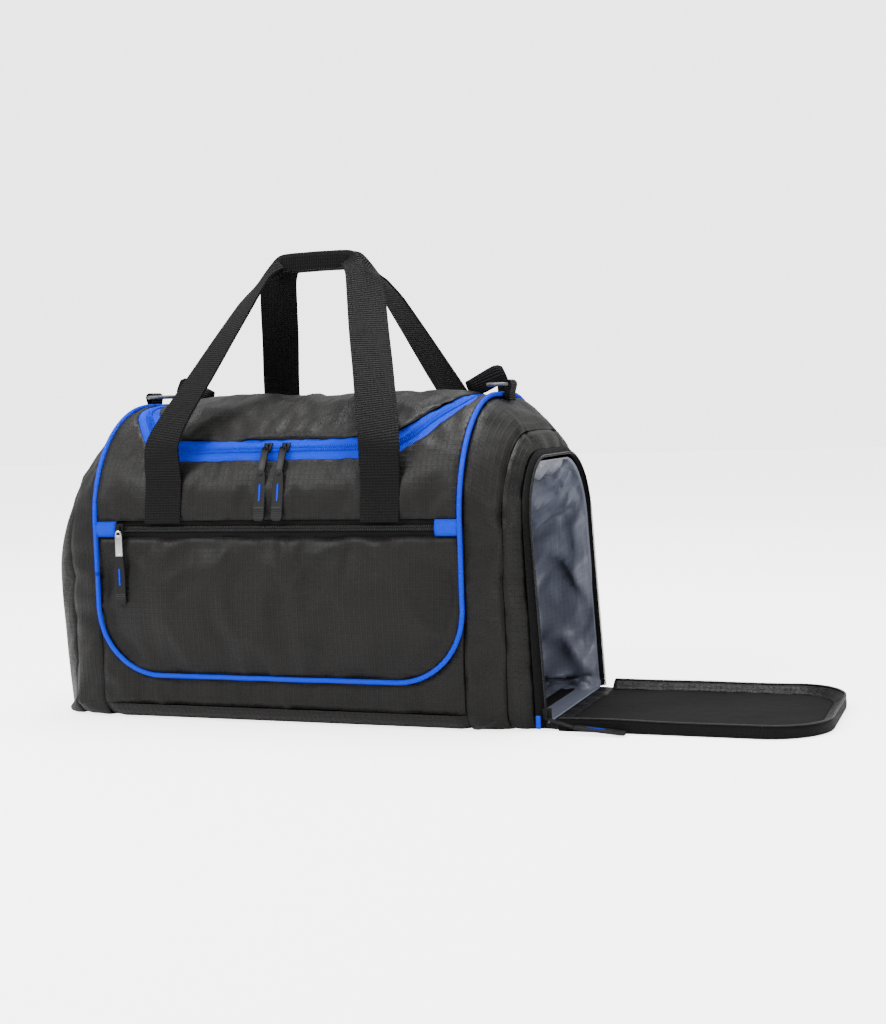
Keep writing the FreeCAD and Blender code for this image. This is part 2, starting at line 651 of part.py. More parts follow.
# End zip: the slider waits at the foot of the front side; its pull lies on the floor.
end_slider = slider_body("end_slider")
place(end_slider, (253.3, -SIZES["rim_half_depth"] - 0.9, 15.5),
      [((1, 0, 0), 90), ((0, 1, 0), -SIZES["rim_lean"])])
keep(end_slider, "end_slider")
end_puller = bar("end_puller", "puller_width", "puller_thickness", "puller_length", 3)
place(end_puller, (256.5, -111.6, 12), [((0, 0, 1), 90), ((0, 1, 0), 14)])
keep(end_puller, "end_puller")
end_tab = tab("end_pull_tab")
place(end_tab, (279.8, -111.6, 5.9), [((0, 0, 1), 90), ((0, 1, 0), 4.6)])
keep(end_tab, "end_pull_tab")
stops = []
for label, side in (("front", -1), ("rear", 1)):
    stub = doc.addObject("Part::Box", "end_zip_stub_" + label)
    stub.Length = 4.4
    stub.Width = 1.4
    stub.Height = 12
    stub.Placement.Base.x = 243.6
    stub.setExpression("Placement.Base.y", "%d * (%s) - 0.7" % (side, size("rim_half_depth + 5.8")))
    stub.Placement.Base.z = 2.5
    stops.append(stub)
stop_pair = doc.addObject("Part::Compound", "stop_pair")
stop_pair.Links = stops
keep(stop_pair, "end_zip_stops")

keep(block("hinge_cloth", "9.4", "190", "1.2", "252.7", "0 - 95"), "flap_hinge_strip")

# ------------------------------------------------------------- flap on the floor


def flap_slab(name, inset, low, thick, start="0", overlap="0"):
    body = new_body(name)
    sketch = attached_sketch(body, "XY_Plane", height=low)
    sketch.AttachmentOffset = Placement(V(0, 0, 0), Rotation(V(0, 0, 1), -90))
    sketch.setExpression("AttachmentOffset.Base.x", size("flap_start_x + %s - %s" % (start, overlap)))
    sketch.setExpression("AttachmentOffset.Base.z", size(low))
    draw_arch(sketch, "flap_half - " + inset,
              "flap_end_x - flap_start_x - %s - %s + %s" % (inset, start, overlap),
              "flap_corner - " + inset, "2")
    pad = body.newObject("PartDesign::Pad", name + "_pad")
    pad.Profile = sketch
    pad.setExpression("Length", size(thick))
    return body


keep(flap_slab("flap_sheet_slab", "0", "0", "flap_sheet"), "flap_panel")
keep(flap_slab("flap_lining_slab", "flap_lining_inset", "flap_sheet", "1.2", "0.5"), "flap_lining")


def flap_ring(name, outer, inner, low, thick):
    whole = flap_slab(name + "_outer", outer, low, thick)
    hollow = flap_slab(name + "_inner", inner, low + " - 1", thick + " + 2", "0", "20")
    return cut(name, whole, hollow)


keep(flap_ring("flap_wall_ring", "0.2", "flap_rim_width", "flap_sheet", "flap_rim - flap_sheet - 1.8"),
     "flap_gusset")
keep(flap_ring("flap_binding_ring", "binding_outer", "binding_inner", "flap_sheet", "4.5"),
     "flap_binding")
keep(flap_ring("flap_teeth_ring", "0.8", "2.4", "flap_rim - 1.8", "1.8"), "end_zip_teeth_flap")

# ------------------------------------------------------ rings, ring tabs, end tabs


def strap_ring(name):
    """D-shaped ring lying inwards from a straight bar held in its webbing tab."""
    straight = doc.addObject("Part::Cylinder", name + "_bar")
    straight.Placement = Placement(V(0, -13, 0), Rotation(V(1, 0, 0), -90))
    straight.setExpression("Radius", size("ring_wire"))
    straight.Height = 26
    bow = doc.addObject("Part::Torus", name + "_bow")
    bow.setExpression("Radius1", size("ring_radius"))
    bow.setExpression("Radius2", size("ring_wire"))
    keep_half = doc.addObject("Part::Box", name + "_half")
    keep_half.Length = 20
    keep_half.Width = 60
    keep_half.Height = 20
    keep_half.Placement.Base = V(0, -30, -10)
    half_bow = common(name + "_half_bow", bow, keep_half)
    legs = []
    for edge in (-1, 1):
        leg = doc.addObject("Part::Cylinder", name + "_leg")
        leg.Placement = Placement(V(0, edge * 13, 0), Rotation(V(0, 1, 0), 90))
        leg.setExpression("Radius", size("ring_wire"))
        leg.Height = 8
        legs.append(leg)
    half_bow.Placement.Base.x = 8
    return fuse(name, straight, half_bow, *legs)


def ring_tab(name, side, base_z):
    """Webbing folded round the ring's bar: two plies up from the seam and a hollow fold."""
    stem = doc.addObject("Part::Box", name + "_stem")
    stem.Length = 3.4
    stem.Width = 20
    stem.setExpression("Height", size("ring_z") + " - %d" % base_z)
    stem.Placement.Base = V(-1.7, -10, base_z)
    fold = doc.addObject("Part::Cylinder", name + "_fold")
    fold.Radius = 4.2
    fold.Height = 20
    fold.Placement = Placement(V(0, -10, 0), Rotation(V(1, 0, 0), -90))
    fold.setExpression("Placement.Base.z", size("ring_z"))
    hollow = doc.addObject("Part::Cylinder", name + "_hollow")
    hollow.Radius = 2.6
    hollow.Height = 24
    hollow.Placement = Placement(V(0, -12, 0), Rotation(V(1, 0, 0), -90))
    hollow.setExpression("Placement.Base.z", size("ring_z"))
    made = cut(name, fuse(name + "_webbing", stem, fold), hollow)
    made.Placement.Base.x = side * 193.6
    return made


for label, side in (("left", -1), ("right", 1)):
    keep(ring_tab("ring_tab_" + label, side, 294 if side < 0 else 296), "ring_tab_" + label)
    hoop = strap_ring("strap_ring_" + label)
    hoop.Placement = Placement(V(side * 193.6, 0, SIZES["ring_z"]),
                               Rotation(V(0, 0, 1), 0 if side < 0 else 180))
    keep(hoop, "strap_ring_" + label)
    flag = doc.addObject("Part::Box", "end_tab_" + label)
    flag.setExpression("Length", size("end_tab_length"))
    flag.setExpression("Width", size("end_tab_width"))
    flag.setExpression("Height", size("end_tab_thickness"))
    rising = SIZES["end_tab_slope"]
    reach, height = SIZES["end_tab_x"], SIZES["end_tab_z"]
    if side < 0:
        # drawn from its high outer end down to its low inner one
        flag.Placement = Placement(V(-reach, SIZES["end_tab_y"], height), Rotation(V(0, 1, 0), rising))
    else:
        # drawn from its low inner end up to its high outer one
        down = math.radians(rising)
        length = SIZES["end_tab_length"]
        corner = V(reach - length * math.cos(down), SIZES["end_tab_y"], height - length * math.sin(down))
        flag.Placement = Placement(corner, Rotation(V(0, 1, 0), -rising))
    keep(flag, "end_tab_" + label)

# ------------------------------------------------------------------ check, export

doc.recompute()
for item in doc.Objects:
    if "Invalid" in item.State or "Error" in item.State:
        raise RuntimeError("did not rebuild: " + item.Label)
for item in finished:
    if item.Shape.isNull() or not item.Shape.isValid() or item.Shape.Volume <= 0:
        raise RuntimeError("no sound solid: " + item.Label)
os.makedirs("parts", exist_ok=True)
for item in finished:
    item.Shape.exportStep(os.path.join("parts", item.Label + ".step"))
    bounds = item.Shape.BoundBox
    print("%-26s solids %d  x %7.1f %7.1f  y %7.1f %7.1f  z %6.1f %6.1f" % (
        item.Label, len(item.Shape.Solids), bounds.XMin, bounds.XMax, bounds.YMin, bounds.YMax,
        bounds.ZMin, bounds.ZMax))
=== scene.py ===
"""A black sports holdall with blue trim, its end compartment unzipped and the flap on the floor."""

import json
import math

import bmesh
import bpy
import numpy as np
from mathutils import Matrix, Vector, noise
from mathutils.geometry import delaunay_2d_cdt
from mathutils.kdtree import KDTree


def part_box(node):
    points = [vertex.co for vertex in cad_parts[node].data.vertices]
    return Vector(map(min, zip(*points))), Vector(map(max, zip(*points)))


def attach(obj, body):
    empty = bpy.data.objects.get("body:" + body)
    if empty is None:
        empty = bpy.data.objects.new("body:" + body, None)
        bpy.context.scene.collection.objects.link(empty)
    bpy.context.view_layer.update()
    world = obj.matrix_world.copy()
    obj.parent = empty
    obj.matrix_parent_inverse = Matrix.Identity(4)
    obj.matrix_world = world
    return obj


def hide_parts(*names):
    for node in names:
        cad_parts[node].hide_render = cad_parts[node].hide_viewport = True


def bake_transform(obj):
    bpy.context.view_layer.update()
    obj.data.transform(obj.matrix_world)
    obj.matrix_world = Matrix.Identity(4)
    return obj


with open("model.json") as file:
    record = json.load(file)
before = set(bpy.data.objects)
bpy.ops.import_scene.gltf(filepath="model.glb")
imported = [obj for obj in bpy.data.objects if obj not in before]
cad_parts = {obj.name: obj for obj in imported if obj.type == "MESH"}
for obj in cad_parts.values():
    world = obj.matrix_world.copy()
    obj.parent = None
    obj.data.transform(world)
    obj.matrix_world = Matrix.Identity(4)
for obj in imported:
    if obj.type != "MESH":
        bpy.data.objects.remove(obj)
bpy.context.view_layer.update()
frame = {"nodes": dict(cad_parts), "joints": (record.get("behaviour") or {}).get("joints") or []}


# ------------------------------------------------------------------ finishes

class Value:
    """A shader socket that ordinary arithmetic can be written with."""

    def __init__(self, finish, socket):
        self.finish, self.socket = finish, socket

    def _sum(self, kind, *others):
        return self.finish.node("ShaderNodeMath", 0, self, *others, operation=kind)

    def __add__(self, other):
        return self._sum("ADD", other)

    def __sub__(self, other):
        return self._sum("SUBTRACT", other)

    def __mul__(self, other):
        return self._sum("MULTIPLY", other)

    def __truediv__(self, other):
        return self._sum("DIVIDE", other)

    def __pow__(self, other):
        return self._sum("POWER", other)

    def __radd__(self, other):
        return self + other

    def __rmul__(self, other):
        return self * other

    def __rsub__(self, other):
        return self * -1.0 + other

    def call(self, kind, *others):
        return self._sum(kind, *others)


class Finish:
    """One material, built from a Principled shader and a few wrapped nodes."""

    def __init__(self, name, colour, roughness, **constants):
        self.material = bpy.data.materials.new(name)
        self.material.use_nodes = True
        self.tree = self.material.node_tree
        self.shader = self.tree.nodes["Principled BSDF"]
        self.shader.inputs["Base Color"].default_value = (*colour, 1)
        self.shader.inputs["Roughness"].default_value = roughness
        for key, value in constants.items():
            self.shader.inputs[key.replace("_", " ")].default_value = value

    def node(self, kind, output, *inputs, **settings):
        made = self.tree.nodes.new(kind)
        named = settings.pop("sockets", {})
        for key, value in settings.items():
            setattr(made, key, value)
        for key, value in list(enumerate(inputs)) + list(named.items()):
            if isinstance(value, Value):
                self.tree.links.new(value.socket, made.inputs[key])
            elif value is not None:
                made.inputs[key].default_value = value
        return Value(self, made.outputs[output])

    def uv(self, part):
        vector = self.node("ShaderNodeUVMap", 0, uv_map="cloth")
        return self.node("ShaderNodeSeparateXYZ", part, vector)

    def place(self):
        return self.node("ShaderNodeTexCoord", "Object")

    def noise(self, scale, detail=3.0, where=None):
        return self.node("ShaderNodeTexNoise", "Fac", where or self.place(),
                         sockets={"Scale": scale, "Detail": detail})

    def thread(self, part, pitch, width):
        """1 on a thread that repeats at a pitch across the cloth, 0 away from it."""
        wave = (self.uv(part) / pitch).call("FRACT") - 0.5
        return (wave.call("ABSOLUTE") * -1.0 + 0.5 * width / pitch) * (pitch / (width * 0.25)) + 0.5

    def clamp(self, value):
        return self.node("ShaderNodeClamp", 0, value)

    def blend(self, factor, low, high):
        return self.node("ShaderNodeMix", 2, factor, data_type="RGBA",
                         sockets={6: (*low, 1), 7: (*high, 1)})

    def wear(self, socket, value):
        self.tree.links.new(value.socket, self.shader.inputs[socket])

    def relief(self, height, depth):
        normal = self.node("ShaderNodeBump", 0, sockets={"Height": height, "Distance": depth})
        self.tree.links.new(normal.socket, self.shader.inputs["Normal"])


def ripstop_finish(name, dark, light, roughness, depth, **constants):
    """Plain nylon with a heavier thread every few millimetres both ways."""
    cloth = Finish(name, dark, roughness, **constants)
    heavy = [cloth.clamp(cloth.thread(part, 0.0052, 0.0009)) for part in (0, 1)]
    grid = heavy[0].call("MAXIMUM", heavy[1])
    fine = cloth.thread(0, 0.0013, 0.0006).call("MAXIMUM", cloth.thread(1, 0.0013, 0.0006))
    patchy = cloth.noise(26.0, 4.0)
    mottled = cloth.noise(900.0, 2.0)
    tone = cloth.clamp(grid * 0.30 + patchy * 0.5 + mottled * 0.35 - 0.18)
    cloth.wear("Base Color", cloth.blend(tone, dark, light))
    cloth.wear("Roughness", patchy * 0.16 + mottled * 0.12 + (roughness - 0.12))
    cloth.relief(grid * 0.8 + cloth.clamp(fine) * 0.12 + mottled * 0.35, depth)
    return cloth.material


def webbing_finish(name, dark, light, roughness, pitch=0.0025):
    """Ribbed tape: ribs across its length and fine lines running along it."""
    tape = Finish(name, dark, roughness, Specular_IOR_Level=0.05)
    rib = (tape.uv(1) * (6.2832 / pitch)).call("SINE") * 0.5 + 0.5
    stagger = (tape.uv(0) * (6.2832 / 0.0032)).call("SINE") * 0.5 + 0.5
    fuzz = tape.noise(1400.0, 2.0)
    tape.wear("Base Color", tape.blend(tape.clamp(rib * 0.6 + fuzz * 0.35 + stagger * 0.12), dark, light))
    tape.wear("Roughness", fuzz * 0.2 + (roughness - 0.1))
    tape.relief(rib * 0.9 + stagger * 0.25 + fuzz * 0.2, 0.0009)
    return tape.material


def smooth_finish(name, colour, roughness, grain=400.0, depth=0.0001, **constants):
    """A moulded, painted or plainly woven surface with a little grain."""
    plain = Finish(name, colour, roughness, **constants)
    grit = plain.noise(grain, 2.0)
    plain.wear("Roughness", grit * 0.14 + (roughness - 0.07))
    plain.relief(grit, depth)
    return plain.material


BLACK = ripstop_finish("black ripstop", (0.0022, 0.0020, 0.0019), (0.0074, 0.0067, 0.0061), 0.47, 0.0005,
                       Specular_IOR_Level=0.12)
GREY = ripstop_finish("grey lining", (0.050, 0.055, 0.076), (0.070, 0.077, 0.104), 0.40, 0.00008,
                      Specular_IOR_Level=0.25)
WEBBING = webbing_finish("black webbing", (0.0006, 0.0006, 0.0006), (0.0058, 0.0057, 0.0057), 0.6)
BLUE = webbing_finish("blue trim", (0.0002, 0.0180, 0.42), (0.0004, 0.0285, 0.58), 0.6, 0.0012)
BLACK_TAPE = webbing_finish("black zip tape", (0.002, 0.002, 0.002), (0.007, 0.007, 0.007), 0.6, 0.0011)
BINDING = ripstop_finish("shiny binding", (0.0012, 0.0012, 0.0013), (0.004, 0.004, 0.0042), 0.36, 0.0009,
                         Specular_IOR_Level=0.09)
FLAP_BLACK = smooth_finish("flap lining", (0.0026, 0.0026, 0.0028), 0.85, 900.0, 0.0006,
                           Specular_IOR_Level=0.08)
COIL = smooth_finish("black coil", (0.004, 0.004, 0.004), 0.36, Specular_IOR_Level=0.2)
PAINT = smooth_finish("black paint", (0.003, 0.003, 0.0032), 0.42, Specular_IOR_Level=0.08)
ZINC = smooth_finish("satin zinc", (0.30, 0.30, 0.295), 0.34, Metallic=1.0)
RUBBER = smooth_finish("black rubber", (0.0045, 0.0045, 0.0047), 0.5, 900.0, 0.00015, Specular_IOR_Level=0.1)
RING_GREY = smooth_finish("grey plastic", (0.034, 0.037, 0.040), 0.4, Specular_IOR_Level=0.4)


# ----------------------------------------------------------- shape of the bag

SEAM_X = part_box("front_yoke")[1][0]
HALF_DEPTH = -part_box("front_lower_band")[0][1]
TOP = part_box("left_gusset")[1][2]
SHOULDER = 0.110
BASE_ROUND = 0.025
RIM_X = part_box("compartment_surround")[1][0]
LEAN = math.tan(math.radians(3.2))
STATIONS = np.array([
    [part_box("left_end_panel")[0][0], 0.108, 0.226, 0.088, 0.008],
    [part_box("left_gusset")[0][0], 0.124, 0.258, 0.098, 0.020],
    [-SEAM_X, HALF_DEPTH, TOP, SHOULDER, BASE_ROUND],
    [SEAM_X, HALF_DEPTH, TOP, SHOULDER, BASE_ROUND],
    [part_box("right_gusset")[1][0], 0.122, 0.266, 0.086, 0.020],
    [RIM_X, 0.103, 0.243, 0.062, 0.008],
])
LEFT_MID, RIGHT_MID = STATIONS[1, 0], STATIONS[4, 0]
RUNS = np.array([HALF_DEPTH - BASE_ROUND, BASE_ROUND * math.pi / 2, TOP - SHOULDER - BASE_ROUND,
                 SHOULDER * math.pi / 2, HALF_DEPTH - SHOULDER])
RUNS = np.concatenate([RUNS, RUNS[::-1]])
MARKS = np.concatenate([[0], np.cumsum(RUNS)])
GIRTH = MARKS[-1]


def skin(x, s):
    """Points of the bag's outside: x along the bag, s the distance round it from the middle of the
    base, over the front and the top and down the rear."""
    x, s = np.broadcast_arrays(np.asarray(x, float), np.asarray(s, float))
    s = np.mod(s, GIRTH)
    half, top, upper, lower = (np.interp(x, STATIONS[:, 0], STATIONS[:, i]) for i in (1, 2, 3, 4))
    rear = s > GIRTH / 2
    t = np.where(rear, GIRTH - s, s)
    part = [np.clip((t - MARKS[i]) / RUNS[i], 0, 1) for i in range(5)]
    low, high = part[1] * math.pi / 2, part[3] * math.pi / 2
    y = part[0] * (half - lower) + lower * np.sin(low) - upper * (1 - np.cos(high)) - part[4] * (half - upper)
    z = lower * (1 - np.cos(low)) + part[2] * (top - upper - lower) + upper * np.sin(high)
    tilt = np.interp(x, [RIGHT_MID, RIM_X], [0, 1])
    return np.stack([x - tilt * LEAN * z, np.where(rear, y, -y), z], axis=-1)


def outward(x, s):
    step = 0.0004
    along = skin(np.asarray(x) + step, s) - skin(np.asarray(x) - step, s)
    around = skin(x, np.asarray(s) + step) - skin(x, np.asarray(s) - step)
    normal = np.cross(along, around)
    return normal / np.maximum(np.linalg.norm(normal, axis=-1, keepdims=True), 1e-9)


def front_at(z):
    """Distance round the bag of a height on the front wall or lower corner."""
    if z < BASE_ROUND:
        return MARKS[1] + BASE_ROUND * math.acos(1 - z / BASE_ROUND)
    return MARKS[2] + z - BASE_ROUND


LEVELS = np.linspace(MARKS[2], MARKS[7] - 0.05, 2400)
TIPPED = (skin(0 * LEVELS, LEVELS)[:, 1] + skin(0 * LEVELS, LEVELS)[:, 2]) * math.sqrt(0.5)
RISING = LEVELS[:int(np.argmax(TIPPED))]


def tipped_to_girth(w):
    """Distance round the bag of a height on the plane tipped 45 degrees, where the top zip is drawn."""
    return np.interp(w, TIPPED[:len(RISING)], RISING)


HINGE_W = 0.245
HINGE_S = float(tipped_to_girth(HINGE_W))
ZIP_FRONT, ZIP_CORNER, ZIP_ARM, ZIP_ARM_START, ZIP_TURN = 0.1045, 0.124, 0.168, 0.168, 0.045


def rounded(points, radius, steps=9):
    """A polyline with its inner corners rounded."""
    out = [np.array(points[0])]
    for before, here, after in zip(points, points[1:], points[2:]):
        before, here, after = (np.array(p, float) for p in (before, here, after))
        a, b = before - here, after - here
        a, b = a / np.linalg.norm(a), b / np.linalg.norm(b)
        angle = math.acos(float(np.clip(a @ b, -1, 1)))
        back = radius / math.tan(angle / 2)
        centre = here + (a + b) / np.linalg.norm(a + b) * radius / math.sin(angle / 2)
        start, end = here + a * back - centre, here + b * back - centre
        sweep = math.pi - angle
        for i in range(steps + 1):
            f = i / steps
            spoke = start * math.sin((1 - f) * sweep) + end * math.sin(f * sweep)
            out.append(centre + spoke / math.sin(sweep))
    out.append(np.array(points[-1]))
    return np.array(out)


def refine(points, spacing):
    """The same polyline with points no further apart than a spacing."""
    out = [points[0]]
    for a, b in zip(points, points[1:]):
        count = max(1, int(math.ceil(np.linalg.norm(b - a) / spacing)))
        out += [a + (b - a) * (i + 1) / count for i in range(count)]
    return np.array(out)


def refine_like(points, spacing):
    out = [points[0]]
    for a, b in zip(points, points[1:]):
        count = max(1, int(math.ceil(np.linalg.norm(b - a) / spacing)))
        out += [a + (b - a) * (k + 1) / count for k in range(count)]
    return np.array(out)


def zip_line(offset, spacing=0.004):
    """The top zip's path, moved outwards, as (x, distance round the bag) from the left hinge end."""
    corner = (ZIP_CORNER + 0.524 * offset, ZIP_FRONT - offset)
    start = (ZIP_ARM + offset, ZIP_ARM_START - 0.3125 * offset)
    end = (ZIP_ARM + offset, HINGE_W)
    flip = [(-x, w) for x, w in (end, start, corner)]
    line = rounded(flip + [corner, start, end], ZIP_TURN + offset)
    base = rounded([(-ZIP_ARM, HINGE_W), (-ZIP_ARM, ZIP_ARM_START), (-ZIP_CORNER, ZIP_FRONT),
                    (ZIP_CORNER, ZIP_FRONT), (ZIP_ARM, ZIP_ARM_START), (ZIP_ARM, HINGE_W)], ZIP_TURN)
    out = [line[0]]
    for i in range(len(line) - 1):
        count = max(1, int(math.ceil(np.linalg.norm(base[i + 1] - base[i]) / spacing)))
        out += [line[i] + (line[i + 1] - line[i]) * (k + 1) / count for k in range(count)]
    out = np.array(out)
    middle = refine_like(base, spacing)
    # the tapes draw together where the zip climbs the shoulders
    share = np.interp(middle[:, 1], [0.125, 0.190], [1.0, 0.80])[:, None]
    out = middle + (out - middle) * share
    return np.stack([out[:, 0], tipped_to_girth(out[:, 1])], axis=1)


ZIP_MIDDLE = zip_line(0.0)


# ---------------------------------------------------------------- mesh making

def add_mesh(name, points, faces, uv=None, finish=None, smooth=True):
    name = name.replace(" ", "_")
    mesh = bpy.data.meshes.new(name)
    mesh.from_pydata([tuple(map(float, p)) for p in points], [], [tuple(map(int, f)) for f in faces])
    mesh.validate()
    layer = mesh.uv_layers.new(name="cloth")
    if uv is not None:
        flat = np.asarray(uv, float)
        for loop in mesh.loops:
            layer.data[loop.index].uv = flat[loop.vertex_index]
    obj = bpy.data.objects.new(name, mesh)
    bpy.context.scene.collection.objects.link(obj)
    if finish:
        mesh.materials.append(finish)
    for face in mesh.polygons:
        face.use_smooth = smooth
    return obj


def face_outwards(obj, centre=(0, 0, 0.13)):
    """Turn a thin sheet's faces away from the middle of the bag."""
    mesh = obj.data
    facing = sum((face.center - Vector(centre)).dot(face.normal) * face.area for face in mesh.polygons)
    if facing < 0:
        mesh.flip_normals()


def thicken(obj, thickness, offset=-1.0):
    shell = obj.modifiers.new("thickness", "SOLIDIFY")
    shell.thickness = thickness
    shell.offset = offset
    return obj


def grid_faces(rows, columns, wrap=False):
    last = columns if wrap else columns - 1
    return [(r * columns + c, r * columns + (c + 1) % columns, (r + 1) * columns + (c + 1) % columns,
             (r + 1) * columns + c) for r in range(rows - 1) for c in range(last)]


def relax(name, points, faces, pinned, frames, pressure, slack, bending=0.6, tension=20.0, gravity=0.0):
    """Where cloth cut a little larger than its pinned outline settles, as an array of points."""
    obj = add_mesh(name, points, faces)
    group = obj.vertex_groups.new(name="pins")
    for weight in np.unique(np.round(pinned, 2)):
        if weight > 0:
            group.add([int(i) for i in np.where(np.round(pinned, 2) == weight)[0]], float(weight), "REPLACE")
    cloth = obj.modifiers.new("cloth", "CLOTH")
    rules = cloth.settings
    rules.quality = 6
    rules.mass = 0.15
    rules.tension_stiffness = rules.compression_stiffness = tension
    rules.shear_stiffness = tension * 0.5
    rules.bending_stiffness = bending
    rules.air_damping = 4.0
    rules.shrink_min = -slack
    rules.use_pressure = pressure != 0
    rules.uniform_pressure_force = pressure
    rules.effector_weights.gravity = gravity
    rules.vertex_group_mass = "pins"
    cloth.collision_settings.use_collision = False
    cloth.point_cache.frame_start = 1
    cloth.point_cache.frame_end = frames
    scene = bpy.context.scene
    for number in range(1, frames + 1):
        scene.frame_set(number)
    settled = obj.evaluated_get(bpy.context.evaluated_depsgraph_get()).data
    out = np.array([tuple(v.co) for v in settled.vertices])
    bpy.data.objects.remove(obj, do_unlink=True)
    scene.frame_set(1)
    return out


# -------------------------------------------------- how the stuffed cloth sits

GRID_X = np.unique(np.concatenate([np.arange(-0.182, 0.1825, 0.0052), STATIONS[:, 0],
                                   np.arange(-0.238, -0.188, 0.005), np.arange(0.190, 0.249, 0.005)]))
GRID_S = np.linspace(0, GIRTH, 196, endpoint=False)


def distance_to(line, x, s):
    tree = KDTree(len(line))
    for index, (a, b) in enumerate(line):
        tree.insert((a, b, 0), index)
    tree.balance()
    flat = [tree.find((a, b, 0))[2] for a, b in zip(np.ravel(x), np.ravel(s))]
    return np.array(flat).reshape(np.shape(x))


def panel_foot(rear=False, spacing=0.004):
    """The piped lower outline of the front or rear panel, left to right."""
    low, turn = 0.045, 0.065
    line = rounded([(-SEAM_X, front_at(low + turn + 0.03)), (-SEAM_X, front_at(low)),
                    (SEAM_X, front_at(low)), (SEAM_X, front_at(low + turn + 0.03))], turn, 14)
    line = refine(line, spacing)
    if rear:
        line = np.stack([line[:, 0], GIRTH - line[:, 1]], axis=1)
    return line


def stuffed_offsets():
    """How far each point of the skin moves once the bag is stuffed and its seams hold it."""
    x, s = np.meshgrid(GRID_X, GRID_S, indexing="ij")
    rest = skin(x, s)
    pins = np.zeros(x.shape)
    mirrored = np.minimum(s, GIRTH - s)
    for station, weight in ((-SEAM_X, 1), (SEAM_X, 1), (RIM_X, 1)):
        pins[np.abs(x - station) < 0.0012] = weight
    pins[mirrored < front_at(0.016)] = 1
    pins[distance_to(refine(ZIP_MIDDLE, 0.003), x, s) < 0.0085] = 1
    pins[(np.abs(s - front_at(0.185)) < 0.008) & (np.abs(x) < SEAM_X)] = 1
    for rear in (False, True):
        pins[distance_to(panel_foot(rear), x, s) < 0.0035] = 1
    patch = (np.abs(np.abs(x) - 0.111) < 0.018) & (mirrored > front_at(0.192))
    patch &= mirrored < front_at(0.192) + 0.034
    pins[patch] = 1
    pins[(np.abs(s - HINGE_S) < 0.003) & (np.abs(x) < SEAM_X)] = 1
    rows, columns = x.shape
    points = rest.reshape(-1, 3)
    faces = [tuple(reversed(f)) for f in grid_faces(rows, columns, wrap=True)]
    # the closed left end: rings shrinking to a short line in the middle of the end panel
    rings = 16
    ends = [points]
    weights = [pins.reshape(-1)]
    edge = rest[0]
    middle = np.stack([edge[:, 0], edge[:, 1] * 0.02, 0.11 + (edge[:, 2] - 0.11) * 0.02], axis=1)
    for ring in range(1, rings + 1):
        f = ring / rings
        ends.append(edge * (1 - f) + middle * f)
        weights.append(np.zeros(columns))
        start = (rows + ring - 2) * columns if ring > 1 else 0
        this = (rows + ring - 1) * columns
        for c in range(columns):
            d = (c + 1) % columns
            faces.append((start + c, start + d, this + d, this + c))
    points = np.concatenate(ends)
    weights = np.concatenate(weights)
    settled = relax("stuffed skin", points, faces, weights, 22, 1.6, 0.016)
    moved = settled - points
    length = np.linalg.norm(moved, axis=1, keepdims=True)
    moved *= np.minimum(1, 0.014 / np.maximum(length, 1e-9))
    skin_part = moved[:rows * columns].reshape(rows, columns, 3)
    # the middle of the end panel settles evenly, with no pucker
    cap = moved[rows * columns:].reshape(rings, columns, 3)
    even = np.clip((np.arange(1, rings + 1) / rings - 0.25) / 0.45, 0, 1)[:, None, None]
    cap = cap * (1 - even) + cap.mean(axis=1, keepdims=True) * even
    return skin_part, points[rows * columns:] + cap.reshape(-1, 3), rings


STUFFED, END_CAP, CAP_RINGS = stuffed_offsets()


def stuffed(x, s):
    """The settled offset at any point of the skin."""
    x, s = np.broadcast_arrays(np.asarray(x, float), np.mod(np.asarray(s, float), GIRTH))
    row = np.clip(np.interp(x, GRID_X, np.arange(len(GRID_X))), 0, len(GRID_X) - 1.0001)
    column = s / GIRTH * len(GRID_S)
    r0, c0 = row.astype(int), column.astype(int) % len(GRID_S)
    c1 = (c0 + 1) % len(GRID_S)
    fr, fc = (row - r0)[..., None], (column - column.astype(int))[..., None]
    top = STUFFED[r0, c0] * (1 - fc) + STUFFED[r0, c1] * fc
    low = STUFFED[r0 + 1, c0] * (1 - fc) + STUFFED[r0 + 1, c1] * fc
    return top * (1 - fr) + low * fr


# cloth under the bag lies this far above the floor
OFF_FLOOR = 0.0004


def on_bag(x, s, lift=0.0):
    """A point on the stuffed bag, lifted off its cloth and never under the floor."""
    spot = skin(x, s) + stuffed(x, s) + outward(x, s) * np.asarray(lift)[..., None]
    spot[..., 2] = np.maximum(spot[..., 2], OFF_FLOOR)
    return spot


# -------------------------------------------------------------- cut cloth panels

def fill_outline(outline, spacing):
    """Triangles inside a closed outline, with evenly spaced points between."""
    tree = KDTree(len(outline))
    for index, point in enumerate(outline):
        tree.insert((point[0], point[1], 0), index)
    tree.balance()
    low, high = outline.min(axis=0), outline.max(axis=0)
    inner = []
    for row, b in enumerate(np.arange(low[1] + spacing / 2, high[1], spacing)):
        for a in np.arange(low[0] + spacing * (0.5 if row % 2 else 1.0), high[0], spacing):
            if tree.find((a, b, 0))[2] > spacing * 0.6:
                inner.append((a, b))
    points = [Vector(p) for p in outline] + [Vector(p) for p in inner]
    count = len(outline)
    edges = [(i, (i + 1) % count) for i in range(count)]
    verts, _, faces, *_ = delaunay_2d_cdt(points, edges, [], 1, 1e-7)
    return np.array([tuple(v) for v in verts]), faces


